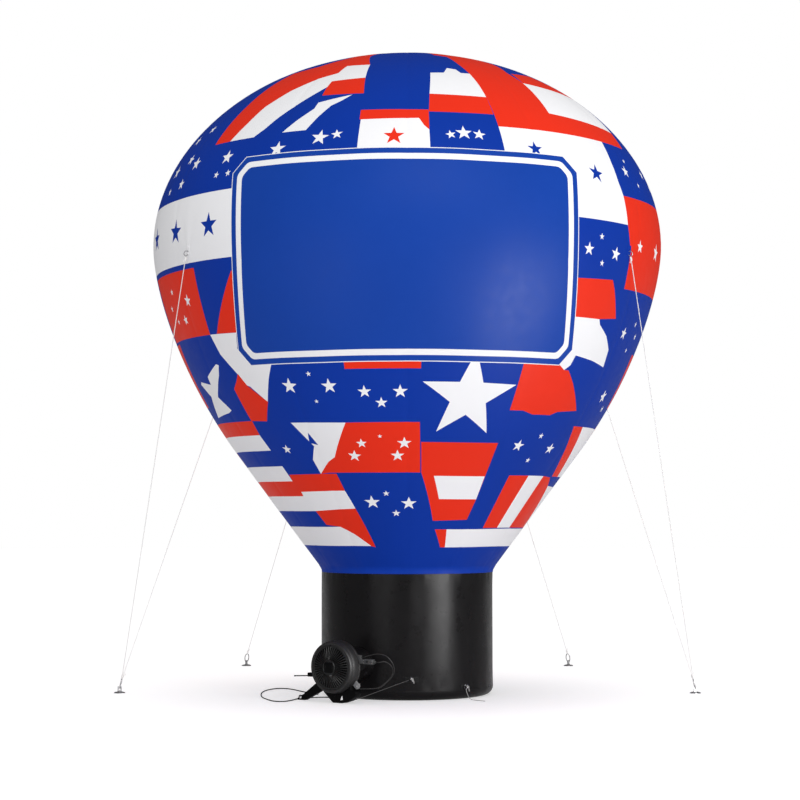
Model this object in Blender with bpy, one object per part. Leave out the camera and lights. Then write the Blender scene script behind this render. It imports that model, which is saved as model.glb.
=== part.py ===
"""Hot air balloon shaped inflatable, about five metres tall.

A sewn envelope of twelve gores stands on a round black base. A blower on the
ground fills it through a sleeve, and six taut stays run to four ground anchors.
Metres, +Z up, origin at the centre of the base's underside, front towards -Y.
An azimuth is counted in degrees from the front, positive towards +X.
"""

from math import asin, atan2, ceil, cos, degrees, hypot, pi, radians, sin, sqrt

import bmesh
import bpy
from mathutils import Matrix, Vector

# Envelope
BULGE_RADIUS = 2.005
BULGE_HEIGHT = 3.499
CROWN_RISE = 1.530
BULGE_PULL = 0.315
TAPER_RADIUS = 1.349
TAPER_HEIGHT = 1.884
TAPER_PULL = 0.769
NECK_RADIUS = 0.678
NECK_HEIGHT = 0.984
SHELL = 0.010
CAP_RADIUS = 0.240
GORES = 12
GORE_SEGMENTS = 4
TOP_RINGS = 7
BANNER_RINGS = 6
LOWER_RINGS = 9

# Base
BASE_RADIUS = 0.675
BASE_TOP = 0.955
PAN_HEIGHT = 0.070
PAN_CORNER = 0.068
WALL_PANELS = 4
WALL_SEGMENTS = 12

# Banner, with widths and heights measured along the fabric
BANNER_WIDTH = 2.690
BANNER_TOP_ARC = 2.290
BANNER_HEIGHT = 1.556
BANNER_CHAMFER = 0.125
BANNER_THICKNESS = 0.004
BANNER_AZIMUTH = -0.7

# Gaps between pieces that touch
GAP = 0.0003

# Stays and anchors
STAY_RADIUS = 0.0030
STAY_SPREAD = 0.0036
TAB_WIDTH = 0.100
TAB_LENGTH = 0.120
TAB_THICKNESS = 0.004
RING_RADIUS = 0.019
RING_WIRE = 0.0035
RING_LIFT = RING_RADIUS + RING_WIRE + 0.0012
RING_LEAN = 0.35
ANCHOR_RADIUS = 0.045
ANCHOR_PLATE = 0.010
POST_HALF_GAP = 0.006
POST_BAR = 0.010
POST_TOP = 0.052
LINK_HALF_WIDTH = 0.019
LINK_LOW = 0.034
LINK_TOP = 0.116
LINK_WIRE = 0.0042

# Blower, in its own frame: -Y towards the intake, +X to the right of it
BLOWER_PLACE = (-0.536, -0.790, 0.266)
BLOWER_TURN = -36.0
DRUM_RADIUS = 0.198
DRUM_FRONT = -0.065
DRUM_REAR = 0.060
DRUM_WALL = 0.012
DRUM_FRONT_RADIUS = 0.190
DRUM_TAPER_REAR = -0.016
DRUM_OPENING = 0.168
DRUM_LIP_REAR = -0.048
COLLAR_RADIUS = 0.125
COLLAR_REAR = 0.105
SLEEVE_FRONT = 0.0635
SLEEVE_EASE = 0.0008
SLEEVE_THICKNESS = 0.0052
STRAP_THICKNESS = 0.0025
STRAP_FRONT = 0.072
STRAP_WIDTH = 0.024
GRILLE_RADIUS = 0.1672
GRILLE_OPENING = 0.1540
GRILLE_SHOULDER = 0.1080
GRILLE_HUB = 0.0560
GRILLE_DOME = 0.024
GRILLE_SHOULDER_RISE = 0.016
GRILLE_RIBS = 46
GRILLE_FRONT = -0.0615
GRILLE_REAR = -0.0535
GRILLE_RIB_HALF = 0.0021
GRILLE_CAP_HALF = 0.040
GRILLE_CAP_RISE = 0.006
GRILLE_CAP_CORNER = 0.006
FAN_RADIUS = 0.165
FAN_BLADES = 7
FAN_FRONT = -0.045
FAN_REAR = -0.004
FAN_HUB_RADIUS = 0.044
FAN_BLADE_HALF = 0.0018
FAN_BLADE_DEPTH = 0.55
SHAFT_RADIUS = 0.0064
SHAFT_FRONT = -0.040
BORE_RADIUS = 0.0070
MOTOR_RADIUS = 0.058
MOTOR_FRONT = 0.001
MOTOR_REAR = 0.098
ARM_HALF = 0.009
ARM_FRONT = 0.012
ARM_REAR = 0.034
ARM_INNER = 0.040
FLOOR_DROP = BLOWER_PLACE[2]
GROUND = -FLOOR_DROP
FOOT_FRONT = -0.012
FOOT_REAR = 0.058
MAINS_GLAND_RADIUS = 0.011
MAINS_GLAND_FRONT = 0.050
MAINS_GLAND_STEP = 0.064
MAINS_GLAND_END = 0.080
LEG_FRONT = 0.020
LEG_REAR = 0.052
LEVER_HEIGHT = -0.068
LEVER_HALF = 0.0155
LEVER_FRONT = -0.010
LEVER_REAR = 0.018
LEVER_END = -0.264
ROD_RADIUS = 0.0045
ROD_DEPTH = 0.004
ROD_HEIGHT = -0.077
ROD_DROP = 0.008
ROD_END = -0.400
LUG_FRONT = 0.020
LUG_REAR = 0.036
BOX_LEFT = 0.232
BOX_RIGHT = 0.322
BOX_FRONT = 0.030
BOX_REAR = 0.064
BOX_LOW = 0.029
BOX_TOP = 0.066
BOX_END = 0.342
BRACKET_REAR = 0.045
GLAND_END = 0.166
GLAND_FRONT = 0.0426
GLAND_REAR = 0.0574

# Each section of a fan blade: radius, pitch in degrees, half its width
BLADE_SECTIONS = (
    (0.036, 58.0, 0.022),
    (0.100, 34.0, 0.034),
    (FAN_RADIUS, 24.0, 0.040),
)

# (x, z) outlines under and beside the drum, from where they leave its arc
FOOT_OUTLINE = (
    (0.150, -0.1668), (0.192, -0.170), (0.200, -0.190), (0.184, -0.217), (0.133, -0.246),
    (0.070, GROUND), (-0.018, GROUND), (-0.105, GROUND + 0.078),
)
LEG_OUTLINE = (
    (-0.150, -0.185), (-0.310, GROUND), (-0.385, GROUND), (-0.385, GROUND + 0.014), (-0.352, GROUND + 0.030),
)
LUG_OUTLINE = ((0.198, -0.112), (0.206, -0.132), (0.196, -0.154), (0.172, -0.160))
BRACKET_OUTLINE = ((0.240, 0.034), (0.240, 0.058), (0.214, 0.066), (0.214, 0.092))
GLAND_OUTLINE = ((0.1451, -0.1458), (0.1497, -0.1640), (GLAND_END, -0.1632), (GLAND_END, -0.1488))

# Leads and cords
MAINS_RADIUS = 0.0045
LEAD_RADIUS = 0.0032
ROPE_RADIUS = 0.0025
PLUG_LENGTH = 0.046
PLUG_RADIUS = 0.0145

COLOURS = {
    "print_blue": ((0.012, 0.045, 0.42), 0.45, 0.0),
    "print_white": ((0.86, 0.86, 0.87), 0.45, 0.0),
    "print_red": ((0.78, 0.035, 0.015), 0.45, 0.0),
    "base_black": ((0.012, 0.011, 0.012), 0.30, 0.0),
    "webbing": ((0.016, 0.016, 0.017), 0.75, 0.0),
    "rope_pale": ((0.70, 0.69, 0.68), 0.70, 0.0),
    "cable_black": ((0.014, 0.014, 0.015), 0.50, 0.0),
    "blower_plastic": ((0.020, 0.020, 0.021), 0.42, 0.0),
    "fan_plastic": ((0.010, 0.010, 0.011), 0.38, 0.0),
    "grey_plastic": ((0.11, 0.11, 0.115), 0.45, 0.0),
    "steel": ((0.42, 0.42, 0.43), 0.35, 1.0),
}


def clear_scene():
    for item in list(bpy.data.objects):
        bpy.data.objects.remove(item, do_unlink=True)


def finish_for(name, look):
    """A material of the part's own, with the colour of its finish."""
    colour, roughness, metallic = COLOURS[look]
    material = bpy.data.materials.new(name)
    material.use_nodes = True
    shader = material.node_tree.nodes["Principled BSDF"]
    shader.inputs["Base Color"].default_value = (*colour, 1.0)
    shader.inputs["Roughness"].default_value = roughness
    shader.inputs["Metallic"].default_value = metallic
    return material


def add_part(name, verts, faces, look, parent=None, place=None, smooth=True):
    """Make one closed part from points and faces, its faces turned outwards."""
    mesh = bpy.data.meshes.new(name)
    mesh.from_pydata([tuple(v) for v in verts], [], faces)
    shell = bmesh.new()
    shell.from_mesh(mesh)
    bmesh.ops.recalc_face_normals(shell, faces=shell.faces)
    shell.to_mesh(mesh)
    shell.free()
    if smooth:
        mesh.shade_smooth()
        mesh.set_sharp_from_angle(angle=radians(35))
    part = bpy.data.objects.new(name, mesh)
    bpy.context.collection.objects.link(part)
    mesh.materials.append(finish_for(name, look))
    if parent is not None:
        part.parent = parent
    if place is not None:
        part.matrix_local = place
    return part


def join_solid(part, other, operation="UNION"):
    """Boolean a helper solid into a part and hide the helper."""
    other.hide_render = True
    other.display_type = "WIRE"
    cut = part.modifiers.new(operation.title(), "BOOLEAN")
    cut.operation = operation
    cut.solver = "EXACT"
    cut.object = other


def turned(points, segments, closed=True, phase=0.0):
    """Turn (radius, height) points about Z: a ring if closed, else capped on the axis."""
    verts = []
    faces = []
    rings = []
    for radius, height in points:
        if radius == 0.0:
            rings.append([len(verts)])
            verts.append((0.0, 0.0, height))
            continue
        rings.append(list(range(len(verts), len(verts) + segments)))
        for k in range(segments):
            angle = 2 * pi * (k + phase) / segments
            verts.append((radius * cos(angle), radius * sin(angle), height))
    count = len(rings) if closed else len(rings) - 1
    for j in range(count):
        low = rings[j]
        high = rings[(j + 1) % len(rings)]
        for k in range(segments):
            n = (k + 1) % segments
            if len(low) == 1:
                faces.append((low[0], high[k], high[n]))
            elif len(high) == 1:
                faces.append((low[k], high[0], low[n]))
            else:
                faces.append((low[k], high[k], high[n], low[n]))
    return verts, faces


def box(low, high):
    """The corners and faces of a box."""
    verts = [(x, y, z) for x in (low[0], high[0]) for y in (low[1], high[1]) for z in (low[2], high[2])]
    faces = [(0, 1, 3, 2), (4, 6, 7, 5), (0, 4, 5, 1), (2, 3, 7, 6), (0, 2, 6, 4), (1, 5, 7, 3)]
    return verts, faces


def prism(outline, low, high):
    """An (x, z) outline extruded along Y from low to high."""
    count = len(outline)
    verts = [(x, low, z) for x, z in outline] + [(x, high, z) for x, z in outline]
    faces = [tuple(range(count)), tuple(range(2 * count - 1, count - 1, -1))]
    for k in range(count):
        n = (k + 1) % count
        faces.append((k, n, n + count, k + count))
    return verts, faces


def swept(points, radius, sides, closed=False):
    """A round bar of one radius along points, with flat ends unless it closes."""
    count = len(points)
    verts = []
    faces = []
    side = None
    for k, point in enumerate(points):
        before = points[k - 1] if (k or closed) else point
        after = points[(k + 1) % count] if (k < count - 1 or closed) else point
        along = (after - before).normalized()
        if side is None:
            side = along.orthogonal().normalized()
        side = (side - along * side.dot(along)).normalized()
        across = along.cross(side)
        for s in range(sides):
            angle = 2 * pi * s / sides
            verts.append(point + side * (radius * cos(angle)) + across * (radius * sin(angle)))
    for k in range(count if closed else count - 1):
        n = (k + 1) % count
        for s in range(sides):
            t = (s + 1) % sides
            faces.append((k * sides + s, k * sides + t, n * sides + t, n * sides + s))
    if not closed:
        faces.append(tuple(range(sides)))
        faces.append(tuple(range((count - 1) * sides, count * sides)))
    return verts, faces


def smooth_route(points, step):
    """Points a step apart on a Catmull-Rom curve through a route."""
    nodes = [Vector(p) for p in points]
    nodes = [2 * nodes[0] - nodes[1]] + nodes + [2 * nodes[-1] - nodes[-2]]
    fine = []
    for a, b, c, d in zip(nodes, nodes[1:], nodes[2:], nodes[3:]):
        for k in range(24):
            t = k / 24
            fine.append(0.5 * (2 * b + (c - a) * t + (2 * a - 5 * b + 4 * c - d) * t * t
                               + (3 * b - a - 3 * c + d) * t ** 3))
    fine.append(nodes[-2])
    total = sum((q - p).length for p, q in zip(fine, fine[1:]))
    count = max(2, round(total / step))
    spacing = total / count
    route = [fine[0]]
    travelled = 0.0
    for p, q in zip(fine, fine[1:]):
        span = (q - p).length
        while len(route) < count and travelled + span >= spacing * len(route) - 1e-9:
            route.append(p.lerp(q, (spacing * len(route) - travelled) / span))
        travelled += span
    route.append(fine[-1])
    return route


def add_cord(name, route, radius, look, step):
    """A cord as a curve with a round bevel and filled caps along its route."""
    points = smooth_route(route, step)
    curve = bpy.data.curves.new(name, "CURVE")
    curve.dimensions = "3D"
    curve.bevel_depth = radius
    curve.bevel_resolution = 2
    curve.use_fill_caps = True
    spline = curve.splines.new("POLY")
    spline.points.add(len(points) - 1)
    for item, point in zip(spline.points, points):
        item.co = (*point, 1.0)
    cord = bpy.data.objects.new(name, curve)
    bpy.context.collection.objects.link(cord)
    curve.materials.append(finish_for(name, look))
    return cord


# Shape of the envelope

def fabric_curve():
    """(radius, height) along the envelope from the crown to the base, closely spaced."""
    points = []
    for k in range(401):
        angle = k / 400 * pi / 2
        points.append((BULGE_RADIUS * sin(angle), BULGE_HEIGHT + CROWN_RISE * cos(angle)))
    slope = Vector((TAPER_RADIUS - NECK_RADIUS, TAPER_HEIGHT - NECK_HEIGHT)).normalized()
    a = Vector((BULGE_RADIUS, BULGE_HEIGHT))
    b = a - Vector((0, BULGE_PULL))
    d = Vector((TAPER_RADIUS, TAPER_HEIGHT))
    c = d + slope * TAPER_PULL
    for k in range(1, 401):
        t = k / 400
        p = (1 - t) ** 3 * a + 3 * (1 - t) ** 2 * t * b + 3 * (1 - t) * t * t * c + t ** 3 * d
        points.append((p.x, p.y))
    points.append((NECK_RADIUS, NECK_HEIGHT))
    points.append((BASE_RADIUS, BASE_TOP))
    return points


CURVE = fabric_curve()


def arc_lengths():
    """The distance from the crown to each point of the fabric's curve."""
    lengths = [0.0]
    for (r0, z0), (r1, z1) in zip(CURVE, CURVE[1:]):
        lengths.append(lengths[-1] + hypot(r1 - r0, z1 - z0))
    return lengths


ARCS = arc_lengths()


def on_fabric(arc):
    """The radius and height at a distance from the crown along the fabric."""
    for k in range(len(ARCS) - 1):
        if ARCS[k + 1] >= arc or k == len(ARCS) - 2:
            t = (arc - ARCS[k]) / (ARCS[k + 1] - ARCS[k])
            (r0, z0), (r1, z1) = CURVE[k], CURVE[k + 1]
            return r0 + (r1 - r0) * t, z0 + (z1 - z0) * t


def fabric_normal(arc):
    """The outward direction, as (radial, up), at a distance from the crown."""
    r0, z0 = on_fabric(max(arc - 0.01, 0.0))
    r1, z1 = on_fabric(min(arc + 0.01, ARCS[-1]))
    length = hypot(r1 - r0, z1 - z0)
    return (z0 - z1) / length, (r1 - r0) / length


def arc_at_height(height):
    for arc, (radius, z) in zip(ARCS, CURVE):
        if z <= height:
            return arc


def arc_at_radius(radius):
    for arc, (r, z) in zip(ARCS, CURVE):
        if r >= radius:
            return arc


def spaced(start, end, count):
    return [start + (end - start) * k / count for k in range(count)]


BANNER_LOW_ARC = BANNER_TOP_ARC + BANNER_HEIGHT
RING_ARCS = (
    spaced(arc_at_radius(CAP_RADIUS), BANNER_TOP_ARC, TOP_RINGS)
    + spaced(BANNER_TOP_ARC, BANNER_LOW_ARC, BANNER_RINGS)
    + spaced(BANNER_LOW_ARC, ARCS[-2], LOWER_RINGS)
    + [ARCS[-2], ARCS[-1] - GAP]
)
STATION = 360 / (GORES * GORE_SEGMENTS)


def ring_point(ring, azimuth, lift):
    """A point of one ring at an azimuth, lifted off the fabric."""
    radius, height = on_fabric(RING_ARCS[ring])
    out, up = fabric_normal(RING_ARCS[ring])
    radius += out * lift
    height += up * lift
    angle = radians(azimuth)
    return Vector((radius * sin(angle), -radius * cos(angle), height))


def facet_point(azimuth, arc, lift):
    """A point on the envelope's flat facets, lifted off them."""
    ring = max(k for k in range(len(RING_ARCS) - 1) if RING_ARCS[k] <= arc + 1e-6)
    down = (arc - RING_ARCS[ring]) / (RING_ARCS[ring + 1] - RING_ARCS[ring])
    start = (azimuth // STATION) * STATION
    over = (azimuth - start) / STATION
    top = ring_point(ring, start, lift).lerp(ring_point(ring, start + STATION, lift), over)
    low = ring_point(ring + 1, start, lift).lerp(ring_point(ring + 1, start + STATION, lift), over)
    return top.lerp(low, down)


def add_gore(number):
    """One gore of the envelope, from the crown cap down to the base."""
    first = number * 360 / GORES
    verts = []
    across = GORE_SEGMENTS + 1
    for lift in (0.0, -SHELL):
        for ring in range(len(RING_ARCS)):
            radius = on_fabric(RING_ARCS[ring])[0] + lift
            seam = degrees(GAP / 2 / radius)
            for k in range(across):
                azimuth = first + k * STATION
                if k == 0:
                    azimuth += seam
                if k == GORE_SEGMENTS:
                    azimuth -= seam
                verts.append(ring_point(ring, azimuth, lift))
    rings = len(RING_ARCS)
    inner = rings * across
    faces = []
    for ring in range(rings - 1):
        for k in range(GORE_SEGMENTS):
            a = ring * across + k
            faces.append((a, a + across, a + across + 1, a + 1))
            faces.append((a + inner, a + 1 + inner, a + across + 1 + inner, a + across + inner))
        for k in (0, GORE_SEGMENTS):
            a = ring * across + k
            faces.append((a, a + inner, a + across + inner, a + across))
    for ring in (0, rings - 1):
        for k in range(GORE_SEGMENTS):
            a = ring * across + k
            faces.append((a, a + 1, a + 1 + inner, a + inner))
    look = ("print_blue", "print_red", "print_white")[number % 3]
    add_part(f"gore_{number + 1:02d}", verts, faces, look)


def add_crown_cap():
    """The round cap that the gores run into at the crown."""
    edge_arc = RING_ARCS[0] - GAP
    steps = 3
    outer = [on_fabric(edge_arc * k / steps) for k in range(steps + 1)]
    inner = []
    for k in range(steps + 1):
        radius, height = outer[k]
        out, up = fabric_normal(edge_arc * k / steps)
        inner.append((max(radius - out * SHELL, 0.0), height - up * SHELL))
    outer[0] = (0.0, outer[0][1])
    inner[0] = (0.0, inner[0][1])
    verts, faces = turned(outer + inner[::-1], GORES * GORE_SEGMENTS, closed=False)
    add_part("crown_cap", verts, faces, "print_blue")


def split_rows(rows):
    """Add a row wherever the panel's left or right edge crosses a station."""
    split = [rows[0]]
    for (arc0, *edges0), (arc1, *edges1) in zip(rows, rows[1:]):
        shares = set()
        for e0, e1 in zip(edges0, edges1):
            low, high = sorted((e0, e1))
            for k in range(ceil(low / STATION), int(high // STATION) + 1):
                if low + 1e-6 < k * STATION < high - 1e-6:
                    shares.add((k * STATION - e0) / (e1 - e0))
        for t in sorted(shares):
            mixed = [e0 + (e1 - e0) * t for e0, e1 in zip(edges0, edges1)]
            split.append((arc0 + (arc1 - arc0) * t, *mixed))
        split.append((arc1, *edges1))
    return split


def skin_panel(rows, thickness, lift=GAP):
    """A thin panel that lies on the envelope's facets.

    rows is a list of (arc, azimuth of the left edge, azimuth of the right edge).
    It is cut at the facets' own lines, so each of its cells lies flat on one.
    """
    rows = split_rows(rows)
    verts = []
    index = []
    for height in (lift + thickness, lift):
        for arc, start, end in rows:
            first = int(start // STATION) + 1
            inside = [k * STATION for k in range(first, ceil(end / STATION))
                      if start + 1e-6 < k * STATION < end - 1e-6]
            cells = {}
            for azimuth in [start] + inside + [end]:
                cells[azimuth] = len(verts)
                verts.append(facet_point(azimuth, arc, height))
            index.append(cells)
    count = len(rows)
    faces = []
    for j in range(count - 1):
        for side in (0, count):
            upper, lower = index[side + j], index[side + j + 1]
            first = int(min(*upper, *lower) // STATION)
            last = ceil(max(*upper, *lower) / STATION)
            for k in range(first, last):
                span = (k * STATION - 1e-6, (k + 1) * STATION + 1e-6)
                over = [upper[a] for a in sorted(upper) if span[0] <= a <= span[1]]
                under = [lower[a] for a in sorted(lower) if span[0] <= a <= span[1]]
                if len(over) + len(under) > 2:
                    faces.append(tuple(over + under[::-1]))
        for pick in (min, max):
            a, b = pick(index[j]), pick(index[j + 1])
            c, d = pick(index[count + j + 1]), pick(index[count + j])
            faces.append((index[j][a], index[j + 1][b], index[count + j + 1][c], index[count + j][d]))
    for j in (0, count - 1):
        edge = sorted(index[j])
        for a, b in zip(edge, edge[1:]):
            faces.append((index[j][a], index[j][b], index[count + j][b], index[count + j][a]))
    return verts, faces


def add_banner():
    """The plain message panel on the front, with its corners cut off."""
    half = BANNER_WIDTH / 2
    arcs = [BANNER_TOP_ARC, BANNER_TOP_ARC + BANNER_CHAMFER]
    arcs += [arc for arc in RING_ARCS if arcs[1] < arc < BANNER_LOW_ARC - BANNER_CHAMFER]
    arcs += [BANNER_LOW_ARC - BANNER_CHAMFER, BANNER_LOW_ARC]
    rows = []
    for arc in arcs:
        cut = BANNER_CHAMFER if arc in (arcs[0], arcs[-1]) else 0.0
        reach = degrees((half - cut) / on_fabric(arc)[0])
        rows.append((arc, BANNER_AZIMUTH - reach, BANNER_AZIMUTH + reach))
    verts, faces = skin_panel(rows, BANNER_THICKNESS)
    add_part("banner_panel", verts, faces, "print_blue")


# Base

def pan_profile(lift):
    """(radius, height) of the base pan's corner, from the floor up to its seam."""
    points = []
    foot = BASE_RADIUS - PAN_CORNER
    for k in range(6):
        angle = k / 5 * pi / 2
        reach = PAN_CORNER - lift
        points.append((foot + reach * sin(angle), PAN_CORNER - reach * cos(angle)))
    points.append((BASE_RADIUS - lift, PAN_HEIGHT))
    return points


def add_base():
    """The floor pan and the four wall panels of the black base."""
    outer = [(0.0, 0.0)] + pan_profile(0.0)
    inner = [(0.0, SHELL)] + pan_profile(SHELL)
    verts, faces = turned(outer + inner[::-1], WALL_PANELS * WALL_SEGMENTS, closed=False)
    add_part("base_floor", verts, faces, "base_black")
    step = 360 / (WALL_PANELS * WALL_SEGMENTS)
    for panel in range(WALL_PANELS):
        first = 45 + panel * 360 / WALL_PANELS
        seam = degrees(GAP / 2 / BASE_RADIUS)
        section = []
        for radius in (BASE_RADIUS, BASE_RADIUS - SHELL):
            for k in range(WALL_SEGMENTS + 1):
                trim = seam if k == 0 else (-seam if k == WALL_SEGMENTS else 0.0)
                angle = radians(first + k * step + trim)
                section.append((radius * sin(angle), -radius * cos(angle)))
        half = WALL_SEGMENTS + 1
        outline = section[:half] + section[half:][::-1]
        count = len(outline)
        verts = [(x, y, z) for z in (PAN_HEIGHT + GAP, BASE_TOP - GAP / 2) for x, y in outline]
        faces = []
        for k in range(half - 1):
            a, b, c, d = k, k + 1, count - 2 - k, count - 1 - k
            faces.append((a, b, c, d))
            faces.append((a + count, d + count, c + count, b + count))
        for k in range(count):
            n = (k + 1) % count
            faces.append((k, n, n + count, k + count))
        add_part(f"base_wall_{panel + 1}", verts, faces, "base_black")


# Stays, their tabs and their anchors

def envelope_frame(azimuth, arc):
    """The outward, sideways and downward directions at a place on the envelope."""
    out, up = fabric_normal(arc)
    angle = radians(azimuth)
    radial = Vector((sin(angle), -cos(angle), 0.0))
    outward = radial * out + Vector((0, 0, up))
    sideways = Vector((cos(angle), sin(angle), 0.0))
    return outward, sideways, sideways.cross(outward)


def ring_place(azimuth, arc):
    """The middle of a tab's ring."""
    outward, _, down = envelope_frame(azimuth, arc)
    return facet_point(azimuth, arc, GAP + TAB_THICKNESS) + outward * RING_LIFT + down * 0.012


def oval(centre, along, across, half_length, half_width, count):
    """Points round a ring that is longer along one direction."""
    points = []
    for k in range(count):
        angle = 2 * pi * k / count
        points.append(centre + along * (half_length * cos(angle)) + across * (half_width * sin(angle)))
    return points


def add_lug_and_ring(part, centre, outward, sideways, down, pull):
    """Weld a webbing lug and a ring to a tab. pull is the direction of its line."""
    low = centre - outward * (RING_LIFT + TAB_THICKNESS * 0.5)
    frame = Matrix((sideways, -down, outward)).transposed().to_4x4()
    frame.translation = low
    verts, faces = box((-0.013, -0.006, 0.0), (0.013, 0.030, 0.013))
    lug = add_part(part.name + ".lug", [frame @ Vector(v) for v in verts], faces, "webbing")
    join_solid(part, lug)
    across = outward - pull * outward.dot(pull)
    across.normalize()
    points = oval(centre, pull, across, RING_RADIUS, RING_RADIUS, 16)
    verts, faces = swept(points, RING_WIRE, 8, closed=True)
    ring = add_part(part.name + ".ring", verts, faces, "steel")
    join_solid(part, ring)


# Each stay: azimuth of its tab, height of the tab, anchor it runs to
STAYS = (
    (-54.2, 3.345, "front_left"),
    (55.0, 3.345, "front_right"),
    (-139.0, 3.345, "front_left"),
    (135.5, 3.345, "front_right"),
    (-165.8, 3.345, "rear_left"),
    (166.8, 3.345, "rear_right"),
)

# Where each anchor stands on the ground
ANCHORS = {
    "front_left": (-2.265, 0.0),
    "front_right": (2.265, 0.0),
    "rear_left": (-1.490, 2.780),
    "rear_right": (1.490, 2.780),
}


def anchor_lean(name):
    """The level direction from an anchor towards the balloon."""
    x, y = ANCHORS[name]
    return Vector((-x, -y, 0.0)).normalized()


def link_frame(name):
    """The middle and the two directions of an anchor's long link."""
    lean = anchor_lean(name)
    along = (Vector((0, 0, 1)) + lean * 0.22).normalized()
    low = Vector((*ANCHORS[name], LINK_LOW))
    length = (LINK_TOP - LINK_LOW) / along.z
    across = Vector((lean.y, -lean.x, 0.0))
    return low + along * (length / 2), along, across, length / 2


def stay_foot(anchor, ring):
    """Where on an anchor's link a stay from a ring is tied."""
    centre, along, across, half = link_frame(anchor)
    shared = [row[2] for row in STAYS].count(anchor) > 1
    offset = STAY_SPREAD if shared else 0.0
    if (ring - centre).dot(across) < 0:
        offset = -offset
    drop = sqrt(1 - (offset / LINK_HALF_WIDTH) ** 2)
    return centre + along * ((half - LINK_WIRE) * drop) + across * offset


def add_anchor(name, number):
    """A ground plate with a forked post, and the long link that hangs in the fork."""
    x, y = ANCHORS[name]
    plate = [(0.0, 0.0), (ANCHOR_RADIUS, 0.0), (ANCHOR_RADIUS, 0.004), (ANCHOR_RADIUS - 0.012, ANCHOR_PLATE),
             (0.0, ANCHOR_PLATE)]
    verts, faces = turned(plate, 24, closed=False)
    lean = anchor_lean(name)
    turn = Matrix.Rotation(atan2(lean.y, lean.x), 4, "Z")
    place = Matrix.Translation((x, y, 0.0)) @ turn
    part = add_part(f"anchor_{number}", [place @ Vector(v) for v in verts], faces, "steel")
    inner = POST_HALF_GAP
    outer = POST_HALF_GAP + POST_BAR
    outline = [(-outer, 0.006), (outer, 0.006), (outer, POST_TOP), (inner, POST_TOP), (inner, 0.022),
               (-inner, 0.022), (-inner, POST_TOP), (-outer, POST_TOP)]
    verts, faces = prism(outline, -0.006, 0.006)
    post = add_part(part.name + ".post", [place @ Vector(v) for v in verts], faces, "steel")
    join_solid(part, post)
    centre, along, across, half = link_frame(name)
    points = oval(centre, along, across, half - LINK_WIRE, LINK_HALF_WIDTH, 20)
    verts, faces = swept(points, LINK_WIRE, 8, closed=True)
    add_part(f"anchor_link_{number}", verts, faces, "steel")


def add_stay(number, azimuth, height, anchor):
    """A sewn tab with its ring, and the taut stay from the ring to the anchor's link."""
    arc = arc_at_height(height)
    half = degrees(TAB_WIDTH / 2 / on_fabric(arc)[0])
    arcs = [arc - TAB_LENGTH / 2]
    arcs += [a for a in RING_ARCS if arcs[0] < a < arc + TAB_LENGTH / 2]
    arcs.append(arc + TAB_LENGTH / 2)
    verts, faces = skin_panel([(a, azimuth - half, azimuth + half) for a in arcs], TAB_THICKNESS)
    tab = add_part(f"stay_tab_{number}", verts, faces, "webbing")
    outward, sideways, down = envelope_frame(azimuth, arc)
    ring = ring_place(azimuth, arc)
    low = stay_foot(anchor, ring)
    pull = (low - ring).normalized()
    add_lug_and_ring(tab, ring, outward, sideways, down, pull)
    start = ring + pull * (RING_RADIUS + RING_WIRE + GAP)
    end = low - pull * (LINK_WIRE + 0.0001)
    verts, faces = swept([start, end], STAY_RADIUS, 8)
    add_part(f"stay_{number}", verts, faces, "rope_pale")


# Blower

def blower_frame():
    """An empty at the drum's middle, -Y along the axis towards the intake."""
    frame = bpy.data.objects.new("blower_frame", None)
    bpy.context.collection.objects.link(frame)
    frame.location = BLOWER_PLACE
    frame.rotation_euler = (0.0, 0.0, radians(BLOWER_TURN))
    return frame


def along_y(points):
    """Turn a solid made about Z so that its height runs along +Y."""
    return [(x, z, -y) for x, y, z in points]


def add_turned(name, profile, look, parent, segments=48, closed=True):
    verts, faces = turned(profile, segments, closed)
    return add_part(name, along_y(verts), faces, look, parent)


def add_housing(frame):
    """The drum, open at the intake, with the outlet collar at its rear."""
    wall = DRUM_RADIUS - DRUM_WALL
    profile = [
        (DRUM_OPENING, DRUM_FRONT), (DRUM_FRONT_RADIUS - 0.005, DRUM_FRONT),
        (DRUM_FRONT_RADIUS, DRUM_FRONT + 0.008), (DRUM_RADIUS, DRUM_TAPER_REAR),
        (DRUM_RADIUS, DRUM_REAR - 0.014), (0.1870, DRUM_REAR), (COLLAR_RADIUS, DRUM_REAR),
        (COLLAR_RADIUS, COLLAR_REAR), (COLLAR_RADIUS - 0.006, COLLAR_REAR),
        (COLLAR_RADIUS - 0.006, DRUM_REAR - 0.008), (0.1800, DRUM_REAR - 0.008),
        (wall, DRUM_REAR - 0.020), (wall, DRUM_TAPER_REAR),
        (DRUM_FRONT_RADIUS - DRUM_WALL, DRUM_LIP_REAR), (DRUM_OPENING, DRUM_LIP_REAR),
    ]
    return add_turned("blower_housing", profile, "blower_plastic", frame)


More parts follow.
